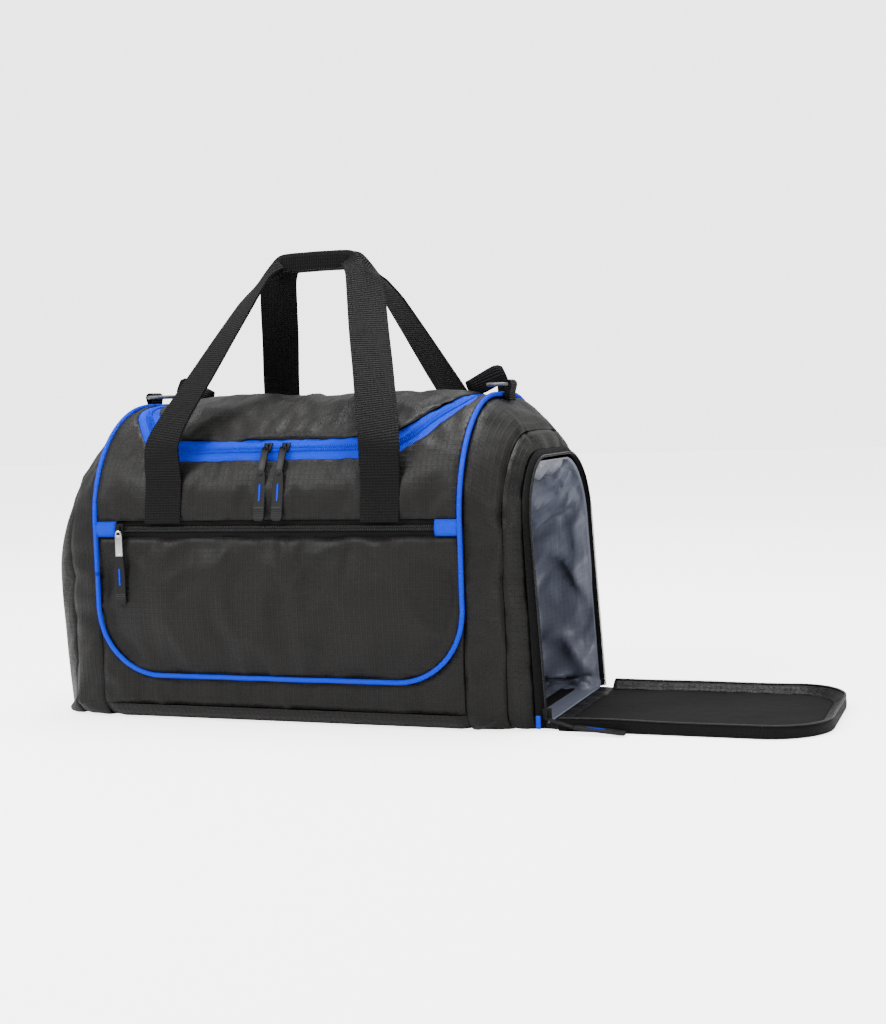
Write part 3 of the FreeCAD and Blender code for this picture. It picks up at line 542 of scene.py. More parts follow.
def seam_pull(flat, outline, depth, reach, seed):
    """Cloth is drawn down at its sewn edge, with small puckers that die away from it."""
    lengths = np.concatenate([[0], np.cumsum(np.linalg.norm(np.diff(outline, axis=0), axis=1))])
    tree = KDTree(len(outline))
    for index, point in enumerate(outline):
        tree.insert((point[0], point[1], 0), index)
    tree.balance()
    out = np.zeros(len(flat))
    for i, (a, b) in enumerate(flat):
        _, index, far = tree.find((a, b, 0))
        along = lengths[index]
        pucker = noise.noise(Vector((along / 0.011, seed, far / 0.03))) + 0.6 * noise.noise(
            Vector((along / 0.023, seed + 9, far / 0.05)))
        out[i] = -depth * math.exp(-(far / reach) ** 2)
        out[i] += 0.0009 * pucker * math.exp(-far / 0.018) * min(1, far / 0.006)
    return out


def creases(flat, seed, size=0.0011):
    """Soft wandering folds left from the way the cloth was packed."""
    out = np.zeros(len(flat))
    for i, (a, b) in enumerate(flat):
        bend = noise.noise(Vector((a / 0.12, b / 0.12, seed)))
        ridge = 1 - abs(noise.noise(Vector((a / 0.062 + bend, b / 0.085 - bend, seed + 4)))) * 2.4
        out[i] = size * max(0, ridge) ** 3 + 0.5 * size * noise.noise(Vector((a / 0.03, b / 0.034, seed + 8)))
    return out


def panel(name, node, outline, spacing=0.004, finish=BLACK, body="bag", lift=0.0,
          depth=0.0016, reach=0.005, crease=0.0011, seed=0.0, thickness=0.0011):
    """One cut piece of cloth laid on the stuffed bag, from its outline in (x, distance round)."""
    outline = np.asarray(outline)
    flat, faces = fill_outline(outline, spacing)
    height = lift + seam_pull(flat, np.vstack([outline, outline[:1]]), depth, reach, seed)
    height = height + creases(flat, seed, crease)
    obj = add_mesh(name, on_bag(flat[:, 0], flat[:, 1], height), faces, flat, finish)
    face_outwards(obj)
    thicken(obj, thickness)
    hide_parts(node)
    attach(obj, body)
    return obj


def band(name, nodes, rails, finish, body="bag", uv=None, thickness=0.0008, centre=(0, 0, 0.13)):
    """Cloth between rails of points, one rail beside the next."""
    rails = np.asarray(rails)
    rows, columns = rails.shape[:2]
    if uv is None:
        along = np.concatenate([[0], np.cumsum(np.linalg.norm(np.diff(rails[0], axis=0), axis=1))])
        across = np.concatenate([[0], np.cumsum([np.linalg.norm(rails[i + 1] - rails[i], axis=1).mean()
                                                 for i in range(rows - 1)])])
        uv = np.stack(np.meshgrid(across, along, indexing="ij"), axis=-1)
    obj = add_mesh(name, rails.reshape(-1, 3), grid_faces(rows, columns), uv.reshape(-1, 2), finish)
    face_outwards(obj, centre)
    if thickness:
        thicken(obj, thickness)
    if nodes:
        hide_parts(*nodes)
    if body:
        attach(obj, body)
    return obj


def cut_cloth(rails):
    """Takes a sewn piece's rails as an array and works nothing out from them."""
    rails = np.asarray(rails)


def line_uv(points, start=0.0):
    along = np.concatenate([[0], np.cumsum(np.linalg.norm(np.diff(points, axis=0), axis=1))]) + start
    return along


def tube(name, nodes, path, radius, finish, body="bag", sides=10, closed=False):
    """Round cord along a line of points."""
    path = np.asarray(path)
    if closed:
        before, after = np.roll(path, 1, axis=0), np.roll(path, -1, axis=0)
    else:
        before, after = np.vstack([path[:1], path[:-1]]), np.vstack([path[1:], path[-1:]])
    tangent = after - before
    tangent /= np.linalg.norm(tangent, axis=1, keepdims=True)
    side = np.zeros_like(path)
    guess = np.array([0.3, 0.2, 0.93])
    for i, direction in enumerate(tangent):
        guess = guess - direction * (guess @ direction)
        guess /= np.linalg.norm(guess)
        side[i] = guess
    other = np.cross(tangent, side)
    angles = np.linspace(0, 2 * math.pi, sides, endpoint=False)
    rings = [path + (side * math.cos(a) + other * math.sin(a)) * radius for a in angles]
    points = np.stack(rings, axis=1).reshape(-1, 3)
    rows = len(path)
    faces = grid_faces(rows, sides, wrap=True)
    if closed:
        faces += [((rows - 1) * sides + c, (rows - 1) * sides + (c + 1) % sides, (c + 1) % sides, c)
                  for c in range(sides)]
    else:
        faces += [tuple(range(sides - 1, -1, -1)), tuple((rows - 1) * sides + c for c in range(sides))]
    along = line_uv(path)
    uv = np.stack([np.tile(angles * radius, rows), np.repeat(along, sides)], axis=1)
    obj = add_mesh(name, points, faces, uv, finish)
    tidy_normals(obj)
    if nodes:
        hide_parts(*nodes)
    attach(obj, body)
    return obj


def tidy_normals(obj):
    work = bmesh.new()
    work.from_mesh(obj.data)
    bmesh.ops.recalc_face_normals(work, faces=work.faces)
    work.to_mesh(obj.data)
    work.free()


def sew_panels():
    seam_w = SEAM_X - 0.0004
    foot = panel_foot()
    foot = foot[np.abs(foot[:, 0]) <= seam_w + 0.001]
    clipped = np.stack([np.clip(foot[:, 0], -seam_w, seam_w), foot[:, 1]], axis=1)
    tape_low, tape_high = front_at(0.1772), front_at(0.1928)

    def closed_outline(*parts):
        return np.vstack([refine(np.asarray(p, float), 0.004)[:-1] for p in parts])

    lower = clipped[0][1]
    pocket = closed_outline([(-seam_w, tape_low), (-seam_w, lower)], clipped,
                            [(seam_w, lower), (seam_w, tape_low)],
                            [(seam_w, tape_low), (-seam_w, tape_low)])
    panel("front pocket panel", "front_pocket_panel", pocket, seed=3.0, lift=0.0006, depth=0.0014,
          crease=0.0019)
    base_s = front_at(0.016)
    band_outline = closed_outline([(-seam_w, base_s), (seam_w, base_s)], [(seam_w, base_s), (seam_w, lower)],
                                  clipped[::-1], [(-seam_w, lower), (-seam_w, base_s)])
    panel("front lower band", "front_lower_band", band_outline, seed=5.0, crease=0.0015)
    rear = np.stack([band_outline[:, 0], GIRTH - band_outline[:, 1]], axis=1)
    panel("rear lower band", "rear_lower_band", rear, seed=6.0)
    hinge = HINGE_S - 0.0004
    outer = zip_line(0.0118)
    yoke = closed_outline([(-seam_w, tape_high), (seam_w, tape_high)], [(seam_w, tape_high), (seam_w, hinge)],
                          [(seam_w, hinge), (outer[-1][0], hinge)],
                          np.vstack([[(outer[-1][0], hinge)], outer[::-1][1:-1], [(outer[0][0], hinge)]]),
                          [(outer[0][0], hinge), (-seam_w, hinge)], [(-seam_w, hinge), (-seam_w, tape_high)])
    panel("front yoke", "front_yoke", yoke, seed=8.0, lift=0.0013, depth=0.0005, crease=0.0016)
    inner = zip_line(-0.0118)
    lid = closed_outline(np.vstack([[(inner[0][0], hinge)], inner[1:-1], [(inner[-1][0], hinge)]]),
                         [(inner[-1][0], hinge), (inner[0][0], hinge)])
    panel("lid", "lid_panel", lid, seed=12.0, lift=0.0013, depth=0.0005, crease=0.0026, body="lid")
    rear_foot = np.stack([clipped[:, 0], GIRTH - clipped[:, 1]], axis=1)
    rear_low = rear_foot[0][1]
    back = closed_outline([(-seam_w, HINGE_S + 0.0004), (-seam_w, rear_low)], rear_foot,
                          [(seam_w, rear_low), (seam_w, HINGE_S + 0.0004)],
                          [(seam_w, HINGE_S + 0.0004), (-seam_w, HINGE_S + 0.0004)])
    panel("rear panel", "rear_panel", back, seed=15.0, crease=0.0014)


def ring_panel(name, node, start, end, seed, crease=0.0016, step=0.004, finish=BLACK, s_from=0.0, s_to=None):
    """A band of cloth that goes right round one end of the bag."""
    around = np.linspace(s_from, GIRTH if s_to is None else s_to, 250)
    across = np.linspace(start, end, max(3, int(abs(end - start) / step)))
    x, s = np.meshgrid(across, around, indexing="ij")
    flat = np.stack([x.ravel(), s.ravel()], axis=1)
    edge = np.minimum(np.abs(flat[:, 0] - start), np.abs(flat[:, 0] - end))
    drop = -0.0015 * np.exp(-(edge / 0.005) ** 2)
    ripple = np.array([noise.noise(Vector((b / 0.014, seed, e / 0.03))) for b, e in zip(flat[:, 1], edge)])
    ripple *= 0.0011 * np.exp(-edge / 0.016) * np.minimum(1, edge / 0.004)
    height = drop + ripple + creases(flat, seed, crease)
    rails = on_bag(flat[:, 0], flat[:, 1], height).reshape(len(across), len(around), 3)
    obj = band(name, (node,), rails, finish, uv=flat.reshape(len(across), len(around), 2),
               thickness=0.0011)
    cut_cloth(rails)
    return obj


def bind_seams():
    """Tape that binds the raw edges of the end seams on the inside of the bag."""
    around = np.linspace(0, GIRTH, 250)
    for label, seam in (("left", -SEAM_X), ("right", SEAM_X), ("left end", LEFT_MID + 0.002),
                        ("right end", RIGHT_MID - 0.002)):
        rails = [on_bag(np.full(250, seam + x), around, np.full(250, -0.0036))
                 for x in np.linspace(-0.007, 0.007, 5)]
        tape = band("seam tape " + label, (), rails, BLACK_TAPE, thickness=0.0006)
        cut_cloth(rails)


def hang_lid_hinge():
    """Strip under the fold between the lid and the rear panel."""
    across = np.linspace(-ZIP_ARM + 0.004, ZIP_ARM - 0.004, 80)
    rails = [on_bag(across, np.full(80, HINGE_S + s), np.full(80, -0.0020))
             for s in np.linspace(-0.010, 0.010, 17)]
    strip = band("lid hinge strip", (), rails, BLACK, None, thickness=0.0006)
    cut_cloth(rails)
    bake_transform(strip)


def sew_ends():
    ring_panel("left gusset", "left_gusset", LEFT_MID + 0.0006, -SEAM_X - 0.0006, 21.0, 0.0022)
    ring_panel("right gusset", "right_gusset", SEAM_X + 0.0006, RIGHT_MID - 0.0006, 24.0, 0.0022)
    ring_panel("compartment surround", "compartment_surround", RIGHT_MID + 0.0006, RIM_X - 0.0045, 27.0,
               0.0009)
    ring_panel("base", "base_panel", -SEAM_X - 0.0010, SEAM_X + 0.0010, 30.0, 0.0, 0.012,
               s_from=-front_at(0.0155), s_to=front_at(0.0155))
    # left end panel: the last ring of the skin and the settled rings across the end
    columns = len(GRID_S)
    rings = [on_bag(np.full(columns, x), GRID_S, np.full(columns, d))
             for x, d in ((LEFT_MID - 0.0006, -0.0015), (LEFT_MID - 0.004, 0.0), (LEFT_MID - 0.010, 0.0008),
                          (LEFT_MID - 0.0155, 0.0004), (STATIONS[0, 0], 0.0))]
    rings += list(END_CAP.reshape(CAP_RINGS, columns, 3))
    points = np.vstack(rings)
    flat = points[:, 1:3]
    obj = add_mesh("left end panel", points, grid_faces(len(rings), columns, wrap=True), flat, BLACK)
    face_outwards(obj)
    thicken(obj, 0.0011)
    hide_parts("left_end_panel")
    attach(obj, "bag")
    edge = rings[0][:, 1:3]
    turned = np.roll(edge, -1, axis=0)
    cut = abs(float((edge[:, 0] * turned[:, 1] - turned[:, 0] * edge[:, 1]).sum() / 2))


def sew_piping():
    """One cord along the front foot, over the right ridge, along the rear foot and back."""
    lift = 0.0021
    front = refine(panel_foot(), 0.004)
    rear = refine(panel_foot(True), 0.004)[::-1]
    up = np.arange(front[-1][1] + 0.004, rear[0][1] - 0.002, 0.004)
    right = np.stack([np.full(len(up), SEAM_X), up], axis=1)
    left = np.stack([np.full(len(up), -SEAM_X), up[::-1]], axis=1)
    line = np.vstack([front, right, rear, left])
    path = on_bag(line[:, 0], line[:, 1], lift)
    tube("piping", ("piping_front", "piping_right", "piping_rear", "piping_left"), path, 0.0023, BLUE,
         closed=True, sides=12)


# ------------------------------------------------------------------------ zips

def teeth(name, nodes, places, along, out, size, finish, body):
    """A row of coil teeth: one low rounded loop at each place."""
    profile = [(-0.5, 0.0), (-0.42, 0.55), (-0.15, 0.95), (0.15, 0.95), (0.42, 0.55), (0.5, 0.0)]
    points, faces, uv = [], [], []
    length, width, height = size
    for place, forward, up in zip(places, along, out):
        side = np.cross(forward, up)
        base = len(points)
        for end in (-0.5, 0.5):
            for a, b in profile:
                points.append(place + side * end * width + forward * a * length + up * b * height)
                uv.append((end * width, a * length))
        count = len(profile)
        for i in range(count - 1):
            faces.append((base + i, base + i + 1, base + count + i + 1, base + count + i))
        faces.append(tuple(base + i for i in range(count - 1, -1, -1)))
        faces.append(tuple(base + count + i for i in range(count)))
        faces.append((base + count - 1, base, base + count, base + 2 * count - 1))
    obj = add_mesh(name, points, faces, uv, finish)
    tidy_normals(obj)
    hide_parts(*nodes)
    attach(obj, body)
    return obj


def spaced(path, pitch, phase=0.0):
    """Places at an even pitch along a path, with the direction there."""
    along = line_uv(path)
    at = np.arange(pitch * (0.5 + phase), along[-1], pitch)
    places = np.stack([np.interp(at, along, path[:, i]) for i in range(path.shape[1])], axis=1)
    ahead = np.stack([np.interp(at + 0.0005, along, path[:, i]) for i in range(path.shape[1])], axis=1)
    behind = np.stack([np.interp(at - 0.0005, along, path[:, i]) for i in range(path.shape[1])], axis=1)
    direction = ahead - behind
    return places, direction / np.linalg.norm(direction, axis=1, keepdims=True)


def sew_top_zip():
    """Wide blue tape either side of the smile-shaped opening, and its coil."""
    for label, body, sign, nodes in (("lid", "lid", -1, ("top_zip_tape_lid",)),
                                     ("bag", "bag", 1, ("top_zip_tape_body",))):
        rails = []
        for offset, lift in ((0.0005, 0.0001), (0.003, 0.0003), (0.0065, 0.0001), (0.0105, -0.0002),
                             (0.0128, -0.0006), (0.0150, -0.0016)):
            line = zip_line(sign * offset)
            rails.append(on_bag(line[:, 0], line[:, 1], lift + 0.0004))
        band("top zip tape on the " + label, nodes, rails, BLUE, body, thickness=0.0007)
        row = zip_line(sign * 0.0017, 0.002)
        surface = on_bag(row[:, 0], row[:, 1], 0.0006)
        places, along = spaced(surface, 0.0019, 0.0 if sign > 0 else 0.5)
        spread = np.interp(np.arange(len(places)), np.linspace(0, len(places) - 1, len(row)),
                           np.arange(len(row)))
        nearest = np.round(spread).astype(int)
        out = outward(row[nearest, 0], row[nearest, 1])
        teeth("top zip teeth on the " + label, ("top_zip_teeth_" + ("lid" if sign < 0 else "body"),),
              places, along, out, (0.00175, 0.0031, 0.0014), BLUE, body)


def sew_pocket_zip():
    for label, node, z_from, z_to in (("lower", "pocket_zip_tape_lower", 0.1765, 0.1847),
                                      ("upper", "pocket_zip_tape_upper", 0.1853, 0.1935)):
        xs = np.linspace(-SEAM_X + 0.002, SEAM_X - 0.002, 90)
        rails = [on_bag(xs, np.full(90, front_at(z)), np.full(90, -0.0008))
                 for z in np.linspace(z_from, z_to, 4)]
        band("pocket zip tape " + label, (node,), rails, BLACK_TAPE)
    xs = np.linspace(-0.166, 0.166, 120)
    places, alongs, outs = [], [], []
    for z, phase in ((0.1837, 0.0), (0.1863, 0.5)):
        line = on_bag(xs, np.full(120, front_at(z)), np.full(120, -0.0001))
        spots, along = spaced(line, 0.0017, phase)
        places.append(spots)
        alongs.append(along)
        outs.append(np.tile([0, -1, 0], (len(spots), 1)))
    teeth("pocket zip teeth", ("pocket_zip_teeth",), np.vstack(places), np.vstack(alongs), np.vstack(outs),
          (0.00155, 0.0024, 0.0014), COIL, "bag")


def soft_box(name, node, low, high, finish, body="bag", bevel=0.0006, turn=None, pivot=None):
    """A small block with rounded edges, between two corners, turned about a pivot."""
    bpy.ops.object.select_all(action="DESELECT")
    bpy.ops.mesh.primitive_cube_add(size=1, location=(0, 0, 0))
    obj = bpy.context.active_object
    obj.name = name.replace(" ", "_")
    low, high = np.array(low), np.array(high)
    bpy.ops.object.mode_set(mode="EDIT")
    bpy.ops.mesh.select_all(action="SELECT")
    bpy.ops.transform.resize(value=tuple(high - low))
    bpy.ops.mesh.bevel(offset=bevel, segments=3, affect="EDGES")
    bpy.ops.uv.cube_project(cube_size=1.0)
    bpy.ops.object.mode_set(mode="OBJECT")
    centre = Vector((low + high) / 2)
    obj.data.transform(Matrix.Translation(centre))
    if turn is not None:
        obj.data.transform(Matrix.Translation(pivot) @ turn @ Matrix.Translation(-Vector(pivot)))
    return finish_piece(obj, (node,) if node else (), finish, body)


def finish_piece(obj, nodes, finish, body):
    obj.data.materials.clear()
    obj.data.materials.append(finish)
    if obj.data.uv_layers:
        obj.data.uv_layers[0].name = "cloth"
    for face in obj.data.polygons:
        face.use_smooth = True
    obj.data.set_sharp_from_angle(angle=math.radians(40))
    if nodes:
        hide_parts(*nodes)
    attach(obj, body)
    return obj


def sew_blue_ends():
    for side in ("left", "right"):
        low, high = (np.array(c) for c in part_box("pocket_zip_end_" + side))
        xs = np.linspace(low[0] - 0.002 * (side == "left"), high[0] + 0.002 * (side == "right"), 8)
        crown = (-0.0012, 0.0006, 0.0013, 0.0018, 0.0013, 0.0006, -0.0012)
        rails = [on_bag(xs, np.full(8, front_at(z)), np.full(8, lift + 0.0026))
                 for z, lift in zip(np.linspace(low[2], high[2], 7), crown)]
        band("pocket zip end " + side, ("pocket_zip_end_" + side,), rails, BLUE)
    low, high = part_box("end_zip_stops")
    for side, near, far in (("front", low[1], low[1] + 0.0014), ("rear", high[1] - 0.0014, high[1])):
        soft_box("end zip stop " + side, "end_zip_stops", (low[0], near, low[2]),
                 (high[0], far, high[2]), BLUE, bevel=0.0004)


# --------------------------------------------------------------------- handles

def handle_path():
    """Middle line of one handle's webbing from the right patch over the grip to the left one,
    with how far it is twisted and folded there."""
    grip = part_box("front_handle")
    top = grip[1][2] - 0.0008
    grip_y = (grip[1][1] + grip[1][1] - 0.009) / 2
    # where the webbing's middle line goes, its twist and its fold, both in degrees
    keys = [((0.111, -0.1298, 0.228), 0, 0), ((0.111, -0.1318, 0.246), 3, 0),
            ((0.1105, -0.1300, 0.266), 8, 0), ((0.1030, -0.1150, 0.292), 15, 0),
            ((0.0900, -0.0880, 0.328), 22, 0), ((0.0760, -0.0610, 0.366), 31, 0),
            ((0.0630, -0.0340, 0.402), 40, 0), ((0.0555, -0.0190, 0.423), 50, 8),
            ((0.0480, grip_y - 0.003, top - 0.010), 68, 40), ((0.0400, grip_y, top - 0.0018), 84, 72),
            ((0.028, grip_y, top), 90, 84), ((0.014, grip_y, top + 0.0002), 90, 86)]
    points = [k[0] for k in keys] + [(0.0, grip_y, top + 0.0004)]
    twists = [k[1] for k in keys] + [90]
    folds = [k[2] for k in keys] + [84]
    points += [(-p[0], p[1], p[2]) for p in points[-2::-1]]
    twists += [180 - t for t in twists[-2::-1]]
    folds += folds[-2::-1]
    fine = np.linspace(0, len(points) - 1, 150)
    return smooth_line(points, fine), np.interp(fine, range(len(twists)), twists), np.interp(
        fine, range(len(folds)), folds)


def smooth_line(points, at):
    """Catmull-Rom through points, sampled at fractional indices."""
    p = np.asarray(points, float)
    p = np.vstack([2 * p[0] - p[1], p, 2 * p[-1] - p[-2]])
    out = []
    for t in at:
        i = min(int(t), len(points) - 2)
        f = t - i
        a, b, c, d = p[i:i + 4]
        bend, twist = 2 * a - 5 * b + 4 * c - d, 3 * b - 3 * c + d - a
        out.append(0.5 * (2 * b + (c - a) * f + bend * f ** 2 + twist * f ** 3))
    return np.array(out)


def make_handle(name, node, body, flip):
    path, twist, fold = handle_path()
    tangent = np.gradient(path, axis=0)
    tangent /= np.linalg.norm(tangent, axis=1, keepdims=True)
    width, bend = 0.019, 0.0034
    across = np.linspace(-width, width, 17)
    rows = []
    for centre, forward, turned, folded in zip(path, tangent, twist, fold):
        # flat webbing faces the front; twisting brings its outer face to the end of the bag
        radians = math.radians(turned)
        flat = np.array([math.cos(radians), math.sin(radians), 0.0])
        flat -= forward * (flat @ forward)
        flat /= np.linalg.norm(flat)
        up = np.cross(flat, forward)
        limit = math.radians(folded)
        row = []
        for w in across:
            reach = abs(w)
            angle = min(reach / bend, limit)
            flat_part = reach - bend * angle
            go = bend * math.sin(angle) + flat_part * math.cos(angle)
            drop = bend * (1 - math.cos(angle)) + flat_part * math.sin(angle)
            row.append(centre + flat * math.copysign(go, w) - up * drop)
        rows.append(row)
    rails = np.array(rows).transpose(1, 0, 2)
    if flip:
        rails[..., 1] *= -1
    along = line_uv(path)
    uv = np.stack(np.meshgrid(across, along, indexing="ij"), axis=-1)
    return band(name, (node,), rails, WEBBING, body, uv=uv, thickness=0.0)


def make_handles():
    for name, node, body, flip in (("front handle", "front_handle", "front_loop", False),
                                   ("rear handle", "rear_handle", "rear_loop", True)):
        obj = make_handle(name, node, body, flip)
        thicken(obj, 0.0021, 0.0)
        soften = obj.modifiers.new("edge", "BEVEL")
        soften.width = 0.0006
        soften.segments = 2
        soften.limit_method = "ANGLE"
        for side in ("left", "right"):
            sign = 1 if side == "right" else -1
            xs = sign * 0.111 + np.linspace(-0.019, 0.019, 13)
            zs = np.linspace(0.1905, 0.2315, 14)
            y_of = np.interp(zs, [0.19, 0.221, 0.2315], [-0.1362, -0.1318, -0.1301])
            rails = []
            for x in xs:
                rail = np.stack([np.full(14, x), y_of, zs], axis=1)
                if flip:
                    rail[:, 1] *= -1
                rails.append(rail)
            uv = np.stack(np.meshgrid(xs, zs, indexing="ij"), axis=-1)
            patch = band("handle patch %s %s" % (node.split("_")[0], side),
                         ("%s_patch_%s" % (node, side),), rails, WEBBING, uv=uv,
                         thickness=0.0)
            thicken(patch, 0.0021, 0.0)
            edge = patch.modifiers.new("edge", "BEVEL")
            edge.width = 0.0006
            edge.segments = 2
            edge.limit_method = "ANGLE"


# ------------------------------------------------------------------- lining

def hang_lining():
    """The grey sack of the shoe compartment, slack between the rim and the inside of the bag."""
    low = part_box("shoe_lining")[0]
    columns, rows = 150, 46
    around = np.linspace(0, GIRTH, columns, endpoint=False)
    rim = skin(np.full(columns, RIM_X - 0.0015), around)
    rim[:, 1] *= 0.977
    rim[:, 2] = 0.0032 + rim[:, 2] * 0.965
    deep = skin(np.full(columns, RIM_X), around)
    deep[:, 1] *= 0.088 / 0.103
    deep[:, 2] = 0.004 + deep[:, 2] * (0.162 / 0.243)
    deep[:, 0] = low[0] + 0.003
    rings = []
    for f in np.linspace(0, 1, rows):
        rings.append(rim * (1 - f) + deep * f)
    back_rings = 14
    middle = deep * 0.02 + np.array([deep[0, 0], 0, 0.085]) * 0.98
    for f in np.linspace(0, 1, back_rings + 1)[1:]:
        rings.append(deep * (1 - f) + middle * f)
    points = np.vstack(rings)
    faces = grid_faces(len(rings), columns, wrap=True)
    pins = np.zeros((len(rings), columns))
    pins[:2] = 1
    pins[:, (around < 0.09) | (around > GIRTH - 0.09)] = 1
    settled = relax("slack lining", points, faces, pins.ravel(), 20, 0.9, 0.055, bending=0.25, tension=12.0)
    # keep the slack cloth inside the bag and off its contents' side of the tunnel
    moved = settled - points
    length = np.linalg.norm(moved, axis=1, keepdims=True)
    settled = points + moved * np.minimum(1, 0.016 / np.maximum(length, 1e-9))
    # long slack folds run in from the rim
    loose = settled.reshape(len(rings), columns, 3)
    centre_line = np.array([0.0, 0.0, 0.095])
    for row in range(2, len(rings) - 3):
        share = min(1.0, (row - 1) / 5.0) * min(1.0, (len(rings) - row) / 14.0)
        for column in range(columns):
            place = around[column]
            if place < 0.10 or place > GIRTH - 0.10:
                continue
            drift = noise.noise(Vector((row / 14.0, place / 0.16, 1.5))) * 0.9
            ridge = 1.0 - abs(noise.noise(Vector((place / 0.040 + drift, row / 26.0, 7.0)))) * 2.6
            swell = 0.010 * max(0.0, ridge) ** 1.5
            swell += 0.005 * noise.noise(Vector((place / 0.07, row / 12.0, 3.0)))
            inwards = centre_line - loose[row, column] * np.array([0, 1, 1])
            inwards[0] = 0
            loose[row, column] += inwards / max(np.linalg.norm(inwards), 1e-6) * swell * share
    loose[..., 2] = np.maximum(loose[..., 2], 0.0014)
    settled = loose.reshape(-1, 3)
    flat = np.stack([np.tile(around, len(rings)), np.repeat(np.arange(len(rings)) * 0.003, columns)], axis=1)
    obj = add_mesh("shoe lining", settled, faces, flat, GREY)
    tidy_normals(obj)
    thicken(obj, 0.0004, 0.0)
    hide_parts("shoe_lining")
    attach(obj, "bag")
    cut_cloth(np.concatenate([loose, loose[:, :1]], axis=1))


def sew_end_zip():
    """Tape and coil round the compartment's mouth."""
    around = np.linspace(front_at(0.014), GIRTH - front_at(0.014), 420)
    rails = []
    for x, lift in ((RIM_X - 0.0065, 0.0008), (RIM_X - 0.004, 0.0012), (RIM_X - 0.0015, 0.0011),
                    (RIM_X + 0.0012, 0.0004),
                    (RIM_X + 0.0016, -0.0012), (RIM_X - 0.0008, -0.0022), (RIM_X - 0.006, -0.0026)):
        rest = skin(np.minimum(x, RIM_X), around)
        rest[:, 0] += max(0, x - RIM_X)
        rails.append(rest + outward(np.full(len(around), RIM_X - 0.002), around) * lift)
    band("end zip tape", ("end_zip_tape_body",), rails, BLACK_TAPE, thickness=0.0006,
         centre=(0.2, 0, 0.12))
    line = skin(np.full(len(around), RIM_X - 0.0001), around)
    line[:, 0] += 0.0026
    places, along = spaced(line, 0.0017)
    at = np.interp(np.arange(len(places)), np.linspace(0, len(places) - 1, len(around)), around)
    normal = outward(np.full(len(places), RIM_X - 0.002), at)
    teeth("end zip teeth", ("end_zip_teeth_body",), places - normal * 0.0002, along, normal,
          (0.0015, 0.0022, 0.0013), COIL, "bag")


# ---------------------------------------------------------------------- flap

def flap_outline(inset, steps=22):
    """The flap's plan from one hinge corner round its far end to the other."""
    low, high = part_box("flap_panel")
    half, far, start, turn = high[1] - inset, high[0] - inset, low[0], 0.058 - inset
    line = rounded([(start, -half), (far, -half), (far, half), (start, half)], turn, steps)
    return refine(line, 0.004)


def flap_rail(inset, height, wave=0.0, seed=1.0):
    line = flap_outline(0.0)
    moved = flap_outline_at(inset)
    out = []
    along = line_uv(line)
    for (x, y), t in zip(moved, along):
        ripple = noise.noise(Vector((t / 0.0075, seed, 0))) + 0.5 * noise.noise(Vector((t / 0.02, seed, 3)))
        ripple *= wave
        droop = 0.0012 * noise.noise(Vector((t / 0.09, 5.0, 0)))
        out.append((x, y, max(0.0003, height + ripple + droop * min(1, height / 0.008))))
    return np.array(out)


def flap_outline_at(inset):
    """The outline moved inwards, point for point with the outer one."""
    line = flap_outline(0.0)
    step = np.gradient(line, axis=0)
    step /= np.linalg.norm(step, axis=1, keepdims=True)
    inward = np.stack([-step[:, 1], step[:, 0]], axis=1)
    return line + inward * inset


def lay_flap():
    outline = flap_outline(0.0006)
    hinge_edge = refine(np.array([outline[-1], outline[0]]), 0.004)[1:-1]
    flat, faces = fill_outline(np.vstack([outline, hinge_edge]), 0.006)
    under = np.column_stack([flat, np.full(len(flat), 0.0012)])
    sheet = add_mesh("flap outer cloth", under, faces, flat, BLACK)
    face_outwards(sheet, (0.38, 0, -5))
    thicken(sheet, 0.0011)
    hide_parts("flap_panel")
    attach(sheet, "flap")
    inner = flap_outline(0.0105)
    hinge_edge = refine(np.array([inner[-1], inner[0]]), 0.004)[1:-1]
    flat, faces = fill_outline(np.vstack([inner, hinge_edge]), 0.0045)
    height = 0.0030 + np.array([0.0011 * noise.noise(Vector((a / 0.05, b / 0.05, 2))) + 0.0004 * noise.noise(
        Vector((a / 0.012, b / 0.012, 6))) for a, b in flat])
    lining = add_mesh("flap lining", np.column_stack([flat, height]), faces, flat, FLAP_BLACK)
    face_outwards(lining, (0.38, 0, -5))
    thicken(lining, 0.0009)
    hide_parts("flap_lining")
    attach(lining, "flap")
    wall = [flap_rail(0.0004, 0.0012), flap_rail(0.0001, 0.004), flap_rail(0.0002, 0.0075),
            flap_rail(0.0006, 0.0102), flap_rail(0.0014, 0.0112)]
    band("flap side wall", ("flap_gusset",), wall, BLACK_TAPE, "flap", centre=(0.38, 0, 0.0),
         thickness=0.0009)
    trim = [flap_rail(0.0016, 0.0108), flap_rail(0.0030, 0.0104, 0.0006), flap_rail(0.0046, 0.0092, 0.0013),
            flap_rail(0.0066, 0.0076, 0.0017, 2.0), flap_rail(0.0088, 0.0056, 0.0014, 2.2),
            flap_rail(0.0108, 0.0042, 0.0009, 2.4), flap_rail(0.0124, 0.0033)]
    band("flap binding", ("flap_binding",), trim, BINDING, "flap", centre=(0.38, 0, -5.0),
         thickness=0.0007)
    line = flap_rail(0.0014, 0.0112)
    places, along = spaced(line, 0.0017)
    teeth("flap zip teeth", ("end_zip_teeth_flap",), places, along, np.tile([0, 0, 1.0], (len(places), 1)),
          (0.0015, 0.0022, 0.0012), COIL, "flap")


